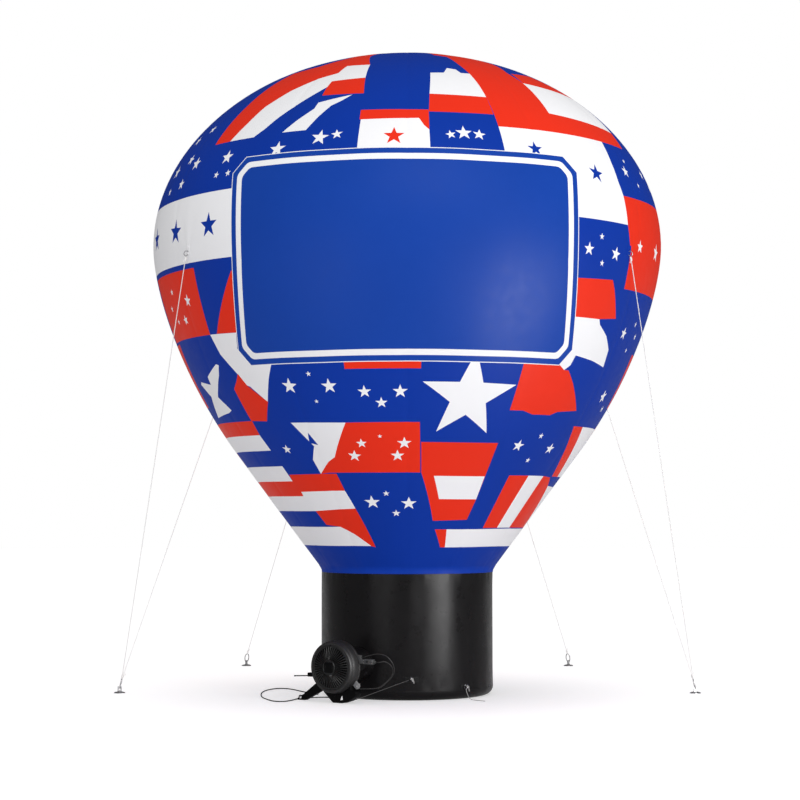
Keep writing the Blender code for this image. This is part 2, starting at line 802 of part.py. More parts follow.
def add_grille(frame):
    """The domed intake guard: a hub and a rim joined by thin radial ribs."""
    rings = ((GRILLE_HUB, GRILLE_DOME), (GRILLE_SHOULDER, GRILLE_SHOULDER_RISE), (GRILLE_OPENING, 0.0),
             (GRILLE_RADIUS, 0.0))
    count = 2 * GRILLE_RIBS
    last = len(rings) - 1
    layer = len(rings) * count
    verts = []
    for y in (GRILLE_FRONT, GRILLE_REAR):
        for radius, rise in rings:
            for k in range(GRILLE_RIBS):
                middle = 2 * pi * k / GRILLE_RIBS
                for side in (-1, 1):
                    angle = middle + side * GRILLE_RIB_HALF / radius
                    if radius == GRILLE_RADIUS:
                        angle = middle + side * pi / count
                    verts.append((radius * cos(angle), y - rise, radius * sin(angle)))
    faces = [tuple(range(count)), tuple(range(layer + count - 1, layer - 1, -1))]
    for k in range(count):
        n = (k + 1) % count
        for j in range(last):
            low = j * count
            high = low + count
            if k % 2 == 0 or j == last - 1:
                faces.append((low + k, low + n, high + n, high + k))
                faces.append((layer + low + k, layer + low + n, layer + high + n, layer + high + k))
            if j < last - 1:
                faces.append((low + k, high + k, layer + high + k, layer + low + k))
        edges = [last * count]
        if k % 2 == 1:
            edges += [0, (last - 1) * count]
        for edge in edges:
            faces.append((edge + k, edge + n, layer + edge + n, layer + edge + k))
    part = add_part("blower_grille", verts, faces, "blower_plastic", frame)
    half = GRILLE_CAP_HALF
    top = GRILLE_FRONT - GRILLE_DOME
    verts, faces = box((-half, top - GRILLE_CAP_RISE, -half), (half, top + 0.002, half))
    cap = add_part("blower_grille.cap", verts, faces, "blower_plastic", frame)
    bevel = cap.modifiers.new("corners", "BEVEL")
    bevel.width = GRILLE_CAP_CORNER
    bevel.segments = 2
    join_solid(part, cap)
    return part


def add_impeller(frame):
    """The fan: a bored hub with twisted blades, free to turn on the motor's shaft."""
    hub = [(BORE_RADIUS, FAN_FRONT + 0.002), (0.030, FAN_FRONT), (FAN_HUB_RADIUS, FAN_FRONT + 0.010),
           (FAN_HUB_RADIUS, FAN_REAR), (BORE_RADIUS, FAN_REAR)]
    part = add_turned("blower_impeller", hub, "fan_plastic", frame, 24)
    verts = []
    faces = []
    middle = (FAN_FRONT + FAN_REAR) / 2 + 0.002
    thin = FAN_BLADE_HALF
    for blade in range(FAN_BLADES):
        turn = Matrix.Rotation(2 * pi * blade / FAN_BLADES, 3, "Y")
        first = len(verts)
        for radius, pitch, half in BLADE_SECTIONS:
            lean = radians(pitch)
            for across, thick in ((-half, -thin), (half, -thin), (half, thin), (-half, thin)):
                x = across * cos(lean) - thick * sin(lean)
                y = across * sin(lean) + thick * cos(lean)
                verts.append(turn @ Vector((x, middle + y * FAN_BLADE_DEPTH, radius)))
        for j in range(len(BLADE_SECTIONS) - 1):
            for k in range(4):
                n = (k + 1) % 4
                a = first + 4 * j
                faces.append((a + k, a + n, a + 4 + n, a + 4 + k))
        faces.append((first, first + 1, first + 2, first + 3))
        last = first + 4 * (len(BLADE_SECTIONS) - 1)
        faces.append((last, last + 1, last + 2, last + 3))
    blades = add_part("blower_impeller.blades", verts, faces, "fan_plastic", frame)
    join_solid(part, blades)
    return part


def add_motor(frame):
    """The motor as one block, on three arms, with the shaft that carries the fan."""
    wall = DRUM_RADIUS - DRUM_WALL - 0.0010
    profile = [(0.0, SHAFT_FRONT), (SHAFT_RADIUS, SHAFT_FRONT), (SHAFT_RADIUS, MOTOR_FRONT),
               (0.020, MOTOR_FRONT), (MOTOR_RADIUS, MOTOR_FRONT + 0.007), (MOTOR_RADIUS, MOTOR_REAR - 0.008),
               (MOTOR_RADIUS - 0.010, MOTOR_REAR), (0.0, MOTOR_REAR)]
    part = add_turned("blower_motor", profile, "fan_plastic", frame, 24, closed=False)
    verts = []
    faces = []
    for arm in range(3):
        turn = Matrix.Rotation(2 * pi * arm / 3, 3, "Y")
        more, sides = box((-ARM_HALF, ARM_FRONT, ARM_INNER), (ARM_HALF, ARM_REAR, wall))
        start = len(verts)
        verts += [turn @ Vector(v) for v in more]
        faces += [tuple(start + k for k in face) for face in sides]
    arms = add_part("blower_motor.arms", verts, faces, "fan_plastic", frame)
    join_solid(part, arms)
    return part


def drum_arc(start, end, count, radius):
    """(x, z) points round the drum between two angles in degrees."""
    points = []
    reach = radius / cos(radians((end - start) / count / 2))
    for k in range(count + 1):
        angle = radians(start + (end - start) * k / count)
        points.append((reach * cos(angle), reach * sin(angle)))
    return points


def add_supports(frame):
    """The foot under the drum, the leg that steadies it and the lever on its side."""
    rest = DRUM_RADIUS + GAP
    outline = drum_arc(222, 316, 12, rest) + list(FOOT_OUTLINE)
    verts, faces = prism(outline, FOOT_FRONT, FOOT_REAR)
    part = add_part("blower_foot", verts, faces, "blower_plastic", frame)
    profile = [(0.0, MAINS_GLAND_FRONT), (MAINS_GLAND_RADIUS, MAINS_GLAND_FRONT),
               (MAINS_GLAND_RADIUS, MAINS_GLAND_STEP), (0.0065, MAINS_GLAND_END), (0.0, MAINS_GLAND_END)]
    verts, faces = turned(profile, 16, closed=False)
    gland = add_part("blower_foot.gland", along_y(verts), faces, "cable_black", frame,
                     Matrix.Translation(MAINS_GLAND))
    join_solid(part, gland)
    outline = drum_arc(212, 220, 2, rest) + list(LEG_OUTLINE)
    verts, faces = prism(outline, LEG_FRONT, LEG_REAR)
    add_part("blower_leg", verts, faces, "blower_plastic", frame)
    low = degrees(asin((LEVER_HEIGHT - LEVER_HALF) / rest))
    top = degrees(asin((LEVER_HEIGHT + LEVER_HALF) / rest))
    outline = drum_arc(180 - top, 180 - low, 2, rest)
    outline += [(LEVER_END, LEVER_HEIGHT - LEVER_HALF), (LEVER_END, LEVER_HEIGHT + LEVER_HALF)]
    verts, faces = prism(outline, LEVER_FRONT, LEVER_REAR)
    part = add_part("side_lever", verts, faces, "blower_plastic", frame)
    points = [Vector((LEVER_END + 0.006, ROD_DEPTH, ROD_HEIGHT)),
              Vector((ROD_END, ROD_DEPTH, ROD_HEIGHT - ROD_DROP))]
    verts, faces = swept(points, ROD_RADIUS, 10)
    rod = add_part("side_lever.rod", verts, faces, "blower_plastic", frame)
    join_solid(part, rod)
    outline = drum_arc(318, 330, 2, rest) + list(LUG_OUTLINE)
    verts, faces = prism(outline, LUG_FRONT, LUG_REAR)
    add_part("foot_lug", verts, faces, "grey_plastic", frame)


def add_switch_box(frame):
    """The pale switch box on its bracket at the drum's rear right side."""
    rest = DRUM_RADIUS + GAP
    middle = (BOX_LOW + BOX_TOP) / 2
    verts, faces = box((BOX_LEFT, BOX_FRONT, BOX_LOW), (BOX_RIGHT, BOX_REAR, BOX_TOP))
    part = add_part("switch_box", verts, faces, "grey_plastic", frame)
    profile = [(0.0, BOX_RIGHT - 0.012), (0.0165, BOX_RIGHT - 0.012), (0.0165, BOX_RIGHT), (0.006, BOX_END),
               (0.0, BOX_END)]
    verts, faces = turned(profile, 16, closed=False)
    taper = add_part("switch_box.taper", [(z, x + SWITCH_DEPTH, y + middle) for x, y, z in verts], faces,
                     "grey_plastic", frame)
    join_solid(part, taper)
    outline = list(BRACKET_OUTLINE)
    outline += drum_arc(degrees(asin(0.096 / rest)), degrees(asin(0.030 / rest)), 5, rest)
    verts, faces = prism(outline, BOX_FRONT, BRACKET_REAR)
    bracket = add_part("switch_box.bracket", verts, faces, "grey_plastic", frame)
    join_solid(part, bracket)


def add_cord_gland(frame):
    """The block on the foot's right side that both thin leads run back into."""
    verts, faces = prism(list(GLAND_OUTLINE), GLAND_FRONT, GLAND_REAR)
    add_part("cord_gland", verts, faces, "cable_black", frame)


def add_sleeve(frame):
    """The air sleeve from the collar to the base wall, and the strap that holds it."""
    segments = 32
    place = Matrix.Translation(BLOWER_PLACE) @ Matrix.Rotation(radians(BLOWER_TURN), 4, "Z")
    axis = place.to_3x3() @ Vector((0, 1, 0))
    inner = COLLAR_RADIUS + SLEEVE_EASE
    outer = inner + SLEEVE_THICKNESS
    verts = []
    for radius in (inner, outer):
        for step in (0.0, 0.45, 1.0):
            for k in range(segments):
                angle = 2 * pi * k / segments
                x, z = radius * cos(angle), radius * sin(angle)
                root = place @ Vector((x, 0.0, z))
                b = root.x * axis.x + root.y * axis.y
                c = root.x ** 2 + root.y ** 2 - (BASE_RADIUS + 0.0006) ** 2
                reach = -b - sqrt(b * b - c)
                verts.append((x, SLEEVE_FRONT + (reach - SLEEVE_FRONT) * step, z))
    layer = 3 * segments
    faces = []
    for k in range(segments):
        n = (k + 1) % segments
        for j in range(2):
            a = j * segments
            faces.append((a + k, a + n, a + segments + n, a + segments + k))
            faces.append((layer + a + k, layer + a + segments + k, layer + a + segments + n, layer + a + n))
        faces.append((k, layer + k, layer + n, n))
        end = 2 * segments
        faces.append((end + k, end + n, layer + end + n, layer + end + k))
    add_part("blower_sleeve", verts, faces, "base_black", frame)
    low = outer + GAP
    top = low + STRAP_THICKNESS
    rear = STRAP_FRONT + STRAP_WIDTH
    band = [(low, STRAP_FRONT), (top, STRAP_FRONT), (top, rear), (low, rear)]
    add_turned("sleeve_strap", band, "webbing", frame, segments)


# Fittings and cords at the base

# Each tab on the base wall: name, azimuth, height of its ring, side the ring leans to, width
BASE_TABS = (
    ("base_tab_left", 2.7, 0.168, -1, 0.105),
    ("base_tab_right", 39.5, 0.098, 1, 0.058),
)


def base_point(azimuth, height, lift):
    """A point off the flat of the base wall's facet at an azimuth."""
    step = 360 / (WALL_PANELS * WALL_SEGMENTS)
    start = ((azimuth - 45) // step) * step + 45
    over = (azimuth - start) / step
    a, b = radians(start), radians(start + step)
    radius = BASE_RADIUS + lift
    low = Vector((radius * sin(a), -radius * cos(a), height))
    high = Vector((radius * sin(b), -radius * cos(b), height))
    return low.lerp(high, over)


def base_ring(azimuth, height):
    """The middle of the ring that stands out of a base tab."""
    angle = radians(azimuth)
    outward = Vector((sin(angle), -cos(angle), 0.0))
    return base_point(azimuth, height, GAP + TAB_THICKNESS) + outward * RING_LIFT


def base_ring_plane(azimuth, lean):
    """The upward and outward directions in the plane of a base tab's ring."""
    angle = radians(azimuth)
    outward = Vector((sin(angle), -cos(angle), 0.0))
    sideways = Vector((cos(angle), sin(angle), 0.0))
    up = (Vector((0, 0, 1)) + sideways * RING_LEAN * lean).normalized()
    return up, (outward - up * outward.dot(up)).normalized()


def add_base_tab(name, azimuth, height, lean, width):
    """A webbing tab sewn to the base wall, with a ring at its upper end."""
    angle = radians(azimuth)
    outward = Vector((sin(angle), -cos(angle), 0.0))
    sideways = Vector((cos(angle), sin(angle), 0.0))
    step = 360 / (WALL_PANELS * WALL_SEGMENTS)
    reach = degrees(width / 2 / BASE_RADIUS)
    edges = [azimuth - reach, azimuth + reach]
    edges += [45 + k * step for k in range(-12, 12) if edges[0] < 45 + k * step < edges[1]]
    edges.sort()
    verts = []
    for lift in (GAP, GAP + TAB_THICKNESS):
        for z in (min(height - 0.012, PAN_HEIGHT + 0.006), height + 0.014):
            verts += [base_point(edge, z, lift) for edge in edges]
    count = len(edges)
    faces = []
    for k in range(count - 1):
        for a, b in ((0, count), (2 * count, 3 * count), (0, 2 * count), (count, 3 * count)):
            faces.append((a + k, a + k + 1, b + k + 1, b + k))
    for k in (0, count - 1):
        faces.append((k, count + k, 3 * count + k, 2 * count + k))
    tab = add_part(name, verts, faces, "webbing")
    frame = Matrix((sideways, -outward, Vector((0, 0, 1)))).transposed().to_4x4()
    frame.translation = base_point(azimuth, height, GAP + TAB_THICKNESS / 2)
    verts, faces = box((-0.012, -0.010, -0.016), (0.012, 0.0, 0.004))
    lug = add_part(name + ".lug", [frame @ Vector(v) for v in verts], faces, "webbing")
    join_solid(tab, lug)
    up, across = base_ring_plane(azimuth, lean)
    points = oval(base_ring(azimuth, height), up, across, RING_RADIUS, RING_RADIUS, 16)
    verts, faces = swept(points, RING_WIRE, 8, closed=True)
    ring = add_part(name + ".ring", verts, faces, "steel")
    join_solid(tab, ring)


def from_blower(x, y, z):
    """A point given in the blower's frame, in the object's frame."""
    place = Matrix.Translation(BLOWER_PLACE) @ Matrix.Rotation(radians(BLOWER_TURN), 4, "Z")
    return place @ Vector((x, y, z))


# Where the cords leave the blower, in its frame
MAINS_GLAND = (0.0, 0.0, -0.222)
SWITCH_DEPTH = 0.047
SWITCH_EXIT = (BOX_END + GAP, SWITCH_DEPTH, 0.0475)
LOOP_EXIT = (0.214 + GAP, 0.0375, 0.079)
LOOP_RETURN = (GLAND_END + GAP, 0.0538, -0.156)
SWITCH_RETURN = (GLAND_END + GAP, 0.0462, -0.156)
TIE_END = (0.142, FOOT_REAR + 0.66 * ROPE_RADIUS + GAP, -0.241)

# The mains lead lies on the floor in one wide loop and ends in its plug
MAINS_FLOOR = 0.0048
MAINS_ROUTE = (
    from_blower(0.0, MAINS_GLAND_END + GAP, -0.222), from_blower(0.0, 0.122, -0.222),
    from_blower(-0.005, 0.156, -0.240), (-0.452, -0.620, 0.0105), (-0.470, -0.570, MAINS_FLOOR),
    (-0.505, -0.510, MAINS_FLOOR), (-0.562, -0.436, MAINS_FLOOR), (-0.632, -0.400, MAINS_FLOOR),
    (-0.712, -0.425, MAINS_FLOOR), (-0.789, -0.467, MAINS_FLOOR), (-0.842, -0.545, MAINS_FLOOR),
    (-0.876, -0.655, MAINS_FLOOR), (-0.933, -0.740, MAINS_FLOOR), (-1.003, -0.714, MAINS_FLOOR),
    (-1.066, -0.565, MAINS_FLOOR),
    (-1.115, -0.385, MAINS_FLOOR), (-1.139, -0.165, MAINS_FLOOR), (-1.141, 0.045, MAINS_FLOOR),
    (-1.112, 0.232, MAINS_FLOOR), (-1.052, 0.348, MAINS_FLOOR), (-0.982, 0.350, MAINS_FLOOR),
    (-0.912, 0.262, MAINS_FLOOR), (-0.851, 0.127, MAINS_FLOOR), (-0.794, 0.018, MAINS_FLOOR),
    (-0.757, -0.050, 0.0085), (-0.735, -0.094, 0.0142), (-0.722, -0.122, 0.0150),
)

# The loose lead loops up from the drum's side and back into the foot's gland
LOOP_ROUTE = (
    from_blower(*LOOP_EXIT), from_blower(0.228, 0.0375, 0.079), from_blower(0.242, 0.0385, 0.081),
    (-0.292, -0.905, 0.3565),
    (-0.222, -0.917, 0.371), (-0.158, -0.917, 0.356), (-0.114, -0.911, 0.308), (-0.097, -0.903, 0.252),
    (-0.114, -0.899, 0.203), (-0.163, -0.896, 0.151), (-0.220, -0.893, 0.1175),
    from_blower(0.210, 0.0538, -0.1555), from_blower(0.178, 0.0538, -0.156), from_blower(*LOOP_RETURN),
)

# The switch lead joins the loose lead and runs beside it
SWITCH_ROUTE = (
    from_blower(*SWITCH_EXIT), from_blower(0.356, SWITCH_DEPTH, 0.0475),
    from_blower(0.370, 0.0478, 0.0477), (-0.165, -0.961, 0.317),
    (-0.124, -0.946, 0.290), (-0.107, -0.925, 0.252), (-0.121, -0.9075, 0.203), (-0.169, -0.9045, 0.152),
    (-0.224, -0.9015, 0.1195), from_blower(0.210, 0.0462, -0.1555), from_blower(0.178, 0.0462, -0.156),
    from_blower(*SWITCH_RETURN),
)

# The rope's loose end leaves the right tab's ring, drops and lies on the floor
TAIL_FLOOR = 0.0028
TAIL_ROUTE = (
    (0.4575, -0.5720, 0.0400), (0.4680, -0.5790, 0.0180), (0.4860, -0.5880, 0.0050),
    (0.5080, -0.6020, TAIL_FLOOR), (0.5400, -0.6380, TAIL_FLOOR), (0.5860, -0.6900, TAIL_FLOOR),
)


def add_plug(end, before):
    """The plug on the mains lead's end: a tapered body with two flat pins."""
    along = (end - before).normalized()
    along.z = 0.0
    along.normalize()
    frame = Matrix((along, Vector((-along.y, along.x, 0.0)), Vector((0, 0, 1)))).transposed().to_4x4()
    frame.translation = end + along * GAP
    profile = [(0.0, 0.0), (0.0060, 0.0), (0.0085, 0.016), (PLUG_RADIUS, 0.024),
               (PLUG_RADIUS, PLUG_LENGTH - 0.002), (PLUG_RADIUS - 0.002, PLUG_LENGTH), (0.0, PLUG_LENGTH)]
    verts, faces = turned(profile, 20, closed=False)
    plug = add_part("mains_plug", [frame @ Vector((z, x, y)) for x, y, z in verts], faces, "cable_black")
    for side in (-1, 1):
        verts, faces = box((PLUG_LENGTH - 0.004, side * 0.0063 - 0.0008, -0.0032),
                           (PLUG_LENGTH + 0.017, side * 0.0063 + 0.0008, 0.0032))
        pin = add_part("mains_plug.pin", [frame @ Vector(v) for v in verts], faces, "steel")
        join_solid(plug, pin)


def add_cords():
    """The mains lead and its plug, the two thin leads, the tie and the rope's tail."""
    add_cord("mains_cord", MAINS_ROUTE, MAINS_RADIUS, "cable_black", 0.034)
    add_plug(Vector(MAINS_ROUTE[-1]), Vector(MAINS_ROUTE[-2]))
    add_cord("loop_lead", LOOP_ROUTE, LEAD_RADIUS, "rope_pale", 0.012)
    add_cord("switch_lead", SWITCH_ROUTE, LEAD_RADIUS, "rope_pale", 0.012)
    _, azimuth, height, lean, _ = BASE_TABS[1]
    ring = base_ring(azimuth, height)
    up, across = base_ring_plane(azimuth, lean)
    pull = (across * 0.5 - up).normalized()
    tail = [ring + pull * (RING_RADIUS + RING_WIRE + GAP), ring + pull * 0.040]
    add_cord("rope_tail", tail + list(TAIL_ROUTE), ROPE_RADIUS, "rope_pale", 0.008)
    _, azimuth, height, _, _ = BASE_TABS[0]
    ring = base_ring(azimuth, height)
    foot = from_blower(*TIE_END)
    pull = (foot - ring).normalized()
    start = ring + pull * (RING_RADIUS + RING_WIRE + GAP)
    verts, faces = swept([start, foot], ROPE_RADIUS, 8)
    add_part("tie_cord", verts, faces, "rope_pale")


def main():
    clear_scene()
    for number in range(GORES):
        add_gore(number)
    add_crown_cap()
    add_banner()
    add_base()
    for number, (azimuth, height, anchor) in enumerate(STAYS, 1):
        add_stay(number, azimuth, height, anchor)
    for number, name in enumerate(ANCHORS, 1):
        add_anchor(name, number)
    for row in BASE_TABS:
        add_base_tab(*row)
    frame = blower_frame()
    add_housing(frame)
    add_grille(frame)
    add_impeller(frame)
    add_motor(frame)
    add_supports(frame)
    add_switch_box(frame)
    add_cord_gland(frame)
    add_sleeve(frame)
    add_cords()


main()
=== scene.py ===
"""The looks of the hot air balloon shaped inflatable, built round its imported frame.

Metres, +Z up, front towards -Y. On the envelope a place is given by its azimuth, in
degrees from the front and positive towards +X, and its arc, in metres from the crown
down along the fabric.
"""

from math import asin, ceil, cos, degrees, hypot, pi, radians, sin, sqrt

import bmesh
import bpy
import numpy as np
from bpy.props import FloatProperty, FloatVectorProperty, IntProperty, PointerProperty
from mathutils import Matrix, Vector, kdtree
from mathutils.geometry import delaunay_2d_cdt


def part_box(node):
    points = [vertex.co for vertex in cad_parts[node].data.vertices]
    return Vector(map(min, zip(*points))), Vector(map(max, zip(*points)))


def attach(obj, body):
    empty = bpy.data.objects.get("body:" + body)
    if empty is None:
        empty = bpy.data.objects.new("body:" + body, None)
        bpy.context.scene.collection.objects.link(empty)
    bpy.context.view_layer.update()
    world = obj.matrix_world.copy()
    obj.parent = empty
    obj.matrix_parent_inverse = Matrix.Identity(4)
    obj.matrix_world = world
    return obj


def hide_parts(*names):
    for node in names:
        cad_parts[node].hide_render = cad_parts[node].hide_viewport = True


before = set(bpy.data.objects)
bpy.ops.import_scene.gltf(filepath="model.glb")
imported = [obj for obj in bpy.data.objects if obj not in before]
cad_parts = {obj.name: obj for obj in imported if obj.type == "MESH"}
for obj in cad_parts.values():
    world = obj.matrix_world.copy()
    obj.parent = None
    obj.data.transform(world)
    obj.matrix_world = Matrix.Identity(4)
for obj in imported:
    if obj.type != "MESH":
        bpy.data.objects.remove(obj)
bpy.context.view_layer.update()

bl_info = {
    "name": "Balloon Shaped Inflatable",
    "version": (1, 0, 0),
    "blender": (4, 5, 0),
    "location": "View3D > Sidebar > Inflatable",
    "description": "Builds the finished envelope, base, rigging and blower round the frame",
    "category": "Add Mesh",
}

# The envelope's side view, the same as the frame's
BULGE_RADIUS = 2.005
BULGE_HEIGHT = 3.499
CROWN_RISE = 1.530
BULGE_PULL = 0.315
TAPER_RADIUS = 1.349
TAPER_HEIGHT = 1.884
TAPER_PULL = 0.769
NECK_RADIUS = 0.678
NECK_HEIGHT = 0.984
BASE_RADIUS = 0.675
BASE_TOP = 0.955
CAP_RADIUS = 0.240
GORES = 12
STAY_HEIGHT = 3.345

# The blower's place, its own frame has -Y towards the intake
BLOWER_PLACE = (-0.536, -0.790, 0.266)
BLOWER_TURN = -36.0
DRUM_RADIUS = 0.198
BLOWER = Matrix.Translation(BLOWER_PLACE) @ Matrix.Rotation(radians(BLOWER_TURN), 4, "Z")

GAP = 0.0003
RING_RADIUS = 0.019
RING_WIRE = 0.0035
UP = Vector((0.0, 0.0, 1.0))


# Settings

def amount(name, description, default, **more):
    return FloatProperty(name=name, description=description, default=default, min=0.0, **more)


def size(name, description, default):
    return amount(name, description, default, unit="LENGTH")


def angle_of(name, description, default):
    return FloatProperty(name=name, description=description, default=radians(default), unit="ROTATION")


def paint(name, description, *default):
    return FloatVectorProperty(name=name, description=description, default=default, subtype="COLOR")


class StageSettings(bpy.types.PropertyGroup):
    """The camera, the floor and the lights."""
    camera_distance: size("Camera distance", "From the balloon's axis", 15.84)
    camera_height: size("Camera height", "Above the floor", 1.431)
    camera_lens: amount("Lens", "Focal length", 90.0, unit="CAMERA")
    camera_pitch: angle_of("Pitch", "Upward tilt", 3.1767)
    camera_yaw: angle_of("Yaw", "Turn to the left", 0.2095)
    floor_colour: paint("Floor", "Colour of the floor", 0.90, 0.90, 0.905)
    floor_glow: amount("Floor glow", "Light given off by the paper floor", 0.39)
    # Painted shadow: the share of the floor's glow that is left under the balloon
    floor_painted_shadow: amount("Floor shade", "Share of the glow left under the balloon", 0.52, max=1.0)
    sky: amount("Room light", "Strength of the surroundings as light", 0.44)
    sky_gloss: amount("Room reflection", "Strength of the surroundings in gloss", 0.10)
    key: amount("Key light", "Power of the right front softbox", 150.0)
    fill: amount("Fill light", "Power of the left softbox", 40.0)
    front: amount("Front light", "Strength of the broad light from the front", 1.68)
    strip: amount("Strip light", "Power of the strip beside the base", 370.0)


class EnvelopeSettings(bpy.types.PropertyGroup):
    """The envelope's printed fabric."""
    blue: paint("Blue", "Blue of the print", 0.0035, 0.036, 0.335)
    red: paint("Red", "Red of the print", 0.80, 0.030, 0.010)
    white: paint("White", "White of the print", 0.88, 0.88, 0.90)
    grid: size("Grid", "Spacing of the fabric's points", 0.060)
    swell: size("Swell", "Height of the fabric's broad unevenness", 0.0016)


class BannerSettings(bpy.types.PropertyGroup):
    """The plain message panel on the front."""
    width: size("Width", "Along the fabric", 2.690)
    height: size("Height", "Along the fabric", 1.556)
    top_arc: size("Top", "Distance of the upper edge from the crown", 2.290)
    azimuth: angle_of("Azimuth", "Middle of the panel", -0.7)
    corner: size("Corner", "Side of the corners that are cut off", 0.125)
    border: size("Border", "From the edge to the white line", 0.049)
    line: size("Line", "Width of the white line", 0.046)
    blue: paint("Blue", "Blue of the panel", 0.007, 0.052, 0.350)


class BaseSettings(bpy.types.PropertyGroup):
    """The round black base."""
    black: paint("Black", "Colour of the coated fabric", 0.0055, 0.0050, 0.0055)
    fold: size("Fold depth", "Depth of the wall's soft folds", 0.0045)
    pan_height: size("Pan height", "Height of the seam above the floor", 0.070)


class RiggingSettings(bpy.types.PropertyGroup):
    """The stays, rings and anchors."""
    stay_radius: size("Stay radius", "Half the thickness of a stay", 0.0030)
    ring_radius: size("Ring radius", "To the middle of the wire", RING_RADIUS)
    ring_wire: size("Ring wire", "Half the wire's thickness", RING_WIRE)
    rope: paint("Rope", "Colour of the stays", 0.80, 0.79, 0.78)
    steel: paint("Steel", "Colour of the rings and anchors", 0.36, 0.36, 0.365)


class BlowerSettings(bpy.types.PropertyGroup):
    """The blower on the ground."""
    plastic: paint("Plastic", "Colour of the drum", 0.0085, 0.0080, 0.0082)
    fan: paint("Fan", "Colour of the fan and motor", 0.0035, 0.0035, 0.0038)
    grey: paint("Grey", "Colour of the switch box", 0.062, 0.062, 0.064)
    ribs: IntProperty(name="Ribs", description="Ribs of the intake guard", default=46, min=12)
    blades: IntProperty(name="Blades", description="Blades of the fan", default=7, min=3)


class CordSettings(bpy.types.PropertyGroup):
    """The mains lead, the thin leads and the rope's tail."""
    mains: size("Mains lead", "Diameter", 0.0090)
    lead: size("Thin leads", "Diameter", 0.0064)
    rope: size("Rope", "Diameter", 0.0050)
    black: paint("Black", "Colour of the mains lead", 0.006, 0.006, 0.0065)
    pale: paint("Pale", "Colour of the thin leads", 0.022, 0.021, 0.021)


# Shape tools

class Solid:
    """Points and faces gathered into one mesh, each face with the number of its look."""

    def __init__(self, place=Matrix()):
        self.place = place
        self.verts = []
        self.faces = []
        self.looks = []

    def add(self, shape, look=0, place=Matrix()):
        """Add a shape, given within the solid's own place."""
        verts, faces = shape
        start = len(self.verts)
        whole = self.place @ place
        self.verts += [whole @ Vector(v) for v in verts]
        self.faces += [tuple(start + k for k in face) for face in faces]
        self.looks += [look] * len(faces)
        return self


def new_item(name, data):
    """An object in the scene that holds a mesh, curve, lamp or camera."""
    item = bpy.data.objects.new(name, data)
    bpy.context.scene.collection.objects.link(item)
    return item


def settle(piece, replaces=(), body="frame"):
    """Say which body a piece rides on, and the nodes that it stands for."""
    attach(piece, body)
    if replaces:
        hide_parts(*replaces)
    return piece


def add_piece(name, solid, looks, replaces=(), body="frame", sharp=35.0):
    """Turn a Solid into a piece of the object, with its edges sharp past an angle."""
    mesh = bpy.data.meshes.new(name)
    mesh.from_pydata([tuple(v) for v in solid.verts], [], solid.faces)
    mesh.polygons.foreach_set("material_index", solid.looks)
    shell = bmesh.new()
    shell.from_mesh(mesh)
    bmesh.ops.recalc_face_normals(shell, faces=shell.faces)
    shell.to_mesh(mesh)
    shell.free()
    mesh.shade_smooth()
    mesh.set_sharp_from_angle(angle=radians(sharp))
    for look in looks:
        mesh.materials.append(look)
    return settle(new_item(name, mesh), replaces, body)


def axes(x, y, z, origin=(0.0, 0.0, 0.0)):
    """The placement that has the given directions as its own X, Y and Z."""
    place = Matrix((x, y, z)).transposed().to_4x4()
    place.translation = origin
    return place


def round_z(azimuth, radius, height):
    """A point about the balloon's axis."""
    return Vector((radius * sin(radians(azimuth)), -radius * cos(radians(azimuth)), height))


def square_to(direction, along):
    """The part of a direction that is square to another, of length one."""
    return (direction - along * direction.dot(along)).normalized()


def beside(along):
    """Two directions square to one another and to a direction."""
    side = along.orthogonal().normalized()
    return side, along.cross(side)


def straight(start, end, count):
    """Points evenly spaced from start to end."""
    return [start.lerp(end, k / count) for k in range(count + 1)]


def length_of(points):
    return sum((q - p).length for p, q in zip(points, points[1:]))


def joined(loops, count, wrap=False):
    """Faces between loops of count points each, and back to the first loop if they wrap."""
    faces = []
    for j in range(loops if wrap else loops - 1):
        low, high = j * count, (j + 1) % loops * count
        for k in range(count):
            n = (k + 1) % count
            faces.append((low + k, low + n, high + n, high + k))
    return faces


def lofted(verts, count):
    """A bar through sections of count points each, closed at both ends."""
    ends = [tuple(range(count)), tuple(range(len(verts) - 1, len(verts) - count - 1, -1))]
    return verts, ends + joined(len(verts) // count, count)


def box(low, high):
    verts = [(x, y, z) for x in (low[0], high[0]) for y in (low[1], high[1]) for z in (low[2], high[2])]
    faces = [(0, 1, 3, 2), (4, 6, 7, 5), (0, 4, 5, 1), (2, 3, 7, 6), (0, 2, 6, 4), (1, 5, 7, 3)]
    return verts, faces


def rectangle(half):
    return [(-half, -half), (half, -half), (half, half), (-half, half)]


def prism(outline, low, high):
    """An (x, z) outline extruded along Y from low to high."""
    count = len(outline)
    verts = [(x, low, z) for x, z in outline] + [(x, high, z) for x, z in outline]
    faces = [tuple(range(count)), tuple(range(2 * count - 1, count - 1, -1))]
    return verts, faces + joined(2, count)


def rounded(shape, width, segments=2, least=30.0):
    """The same solid with its edges rounded off."""
    mesh = bpy.data.meshes.new("rounding")
    mesh.from_pydata([tuple(v) for v in shape[0]], [], shape[1])
    shell = bmesh.new()
    shell.from_mesh(mesh)
    bmesh.ops.recalc_face_normals(shell, faces=shell.faces)
    edges = [e for e in shell.edges if e.calc_face_angle(0.0) > radians(least)]
    bmesh.ops.bevel(shell, geom=edges, offset=width, segments=segments, profile=0.5, affect="EDGES",
                    clamp_overlap=True)
    verts = [v.co.copy() for v in shell.verts]
    shell.verts.index_update()
    faces = [tuple(v.index for v in f.verts) for f in shell.faces]
    shell.free()
    bpy.data.meshes.remove(mesh)
    return verts, faces


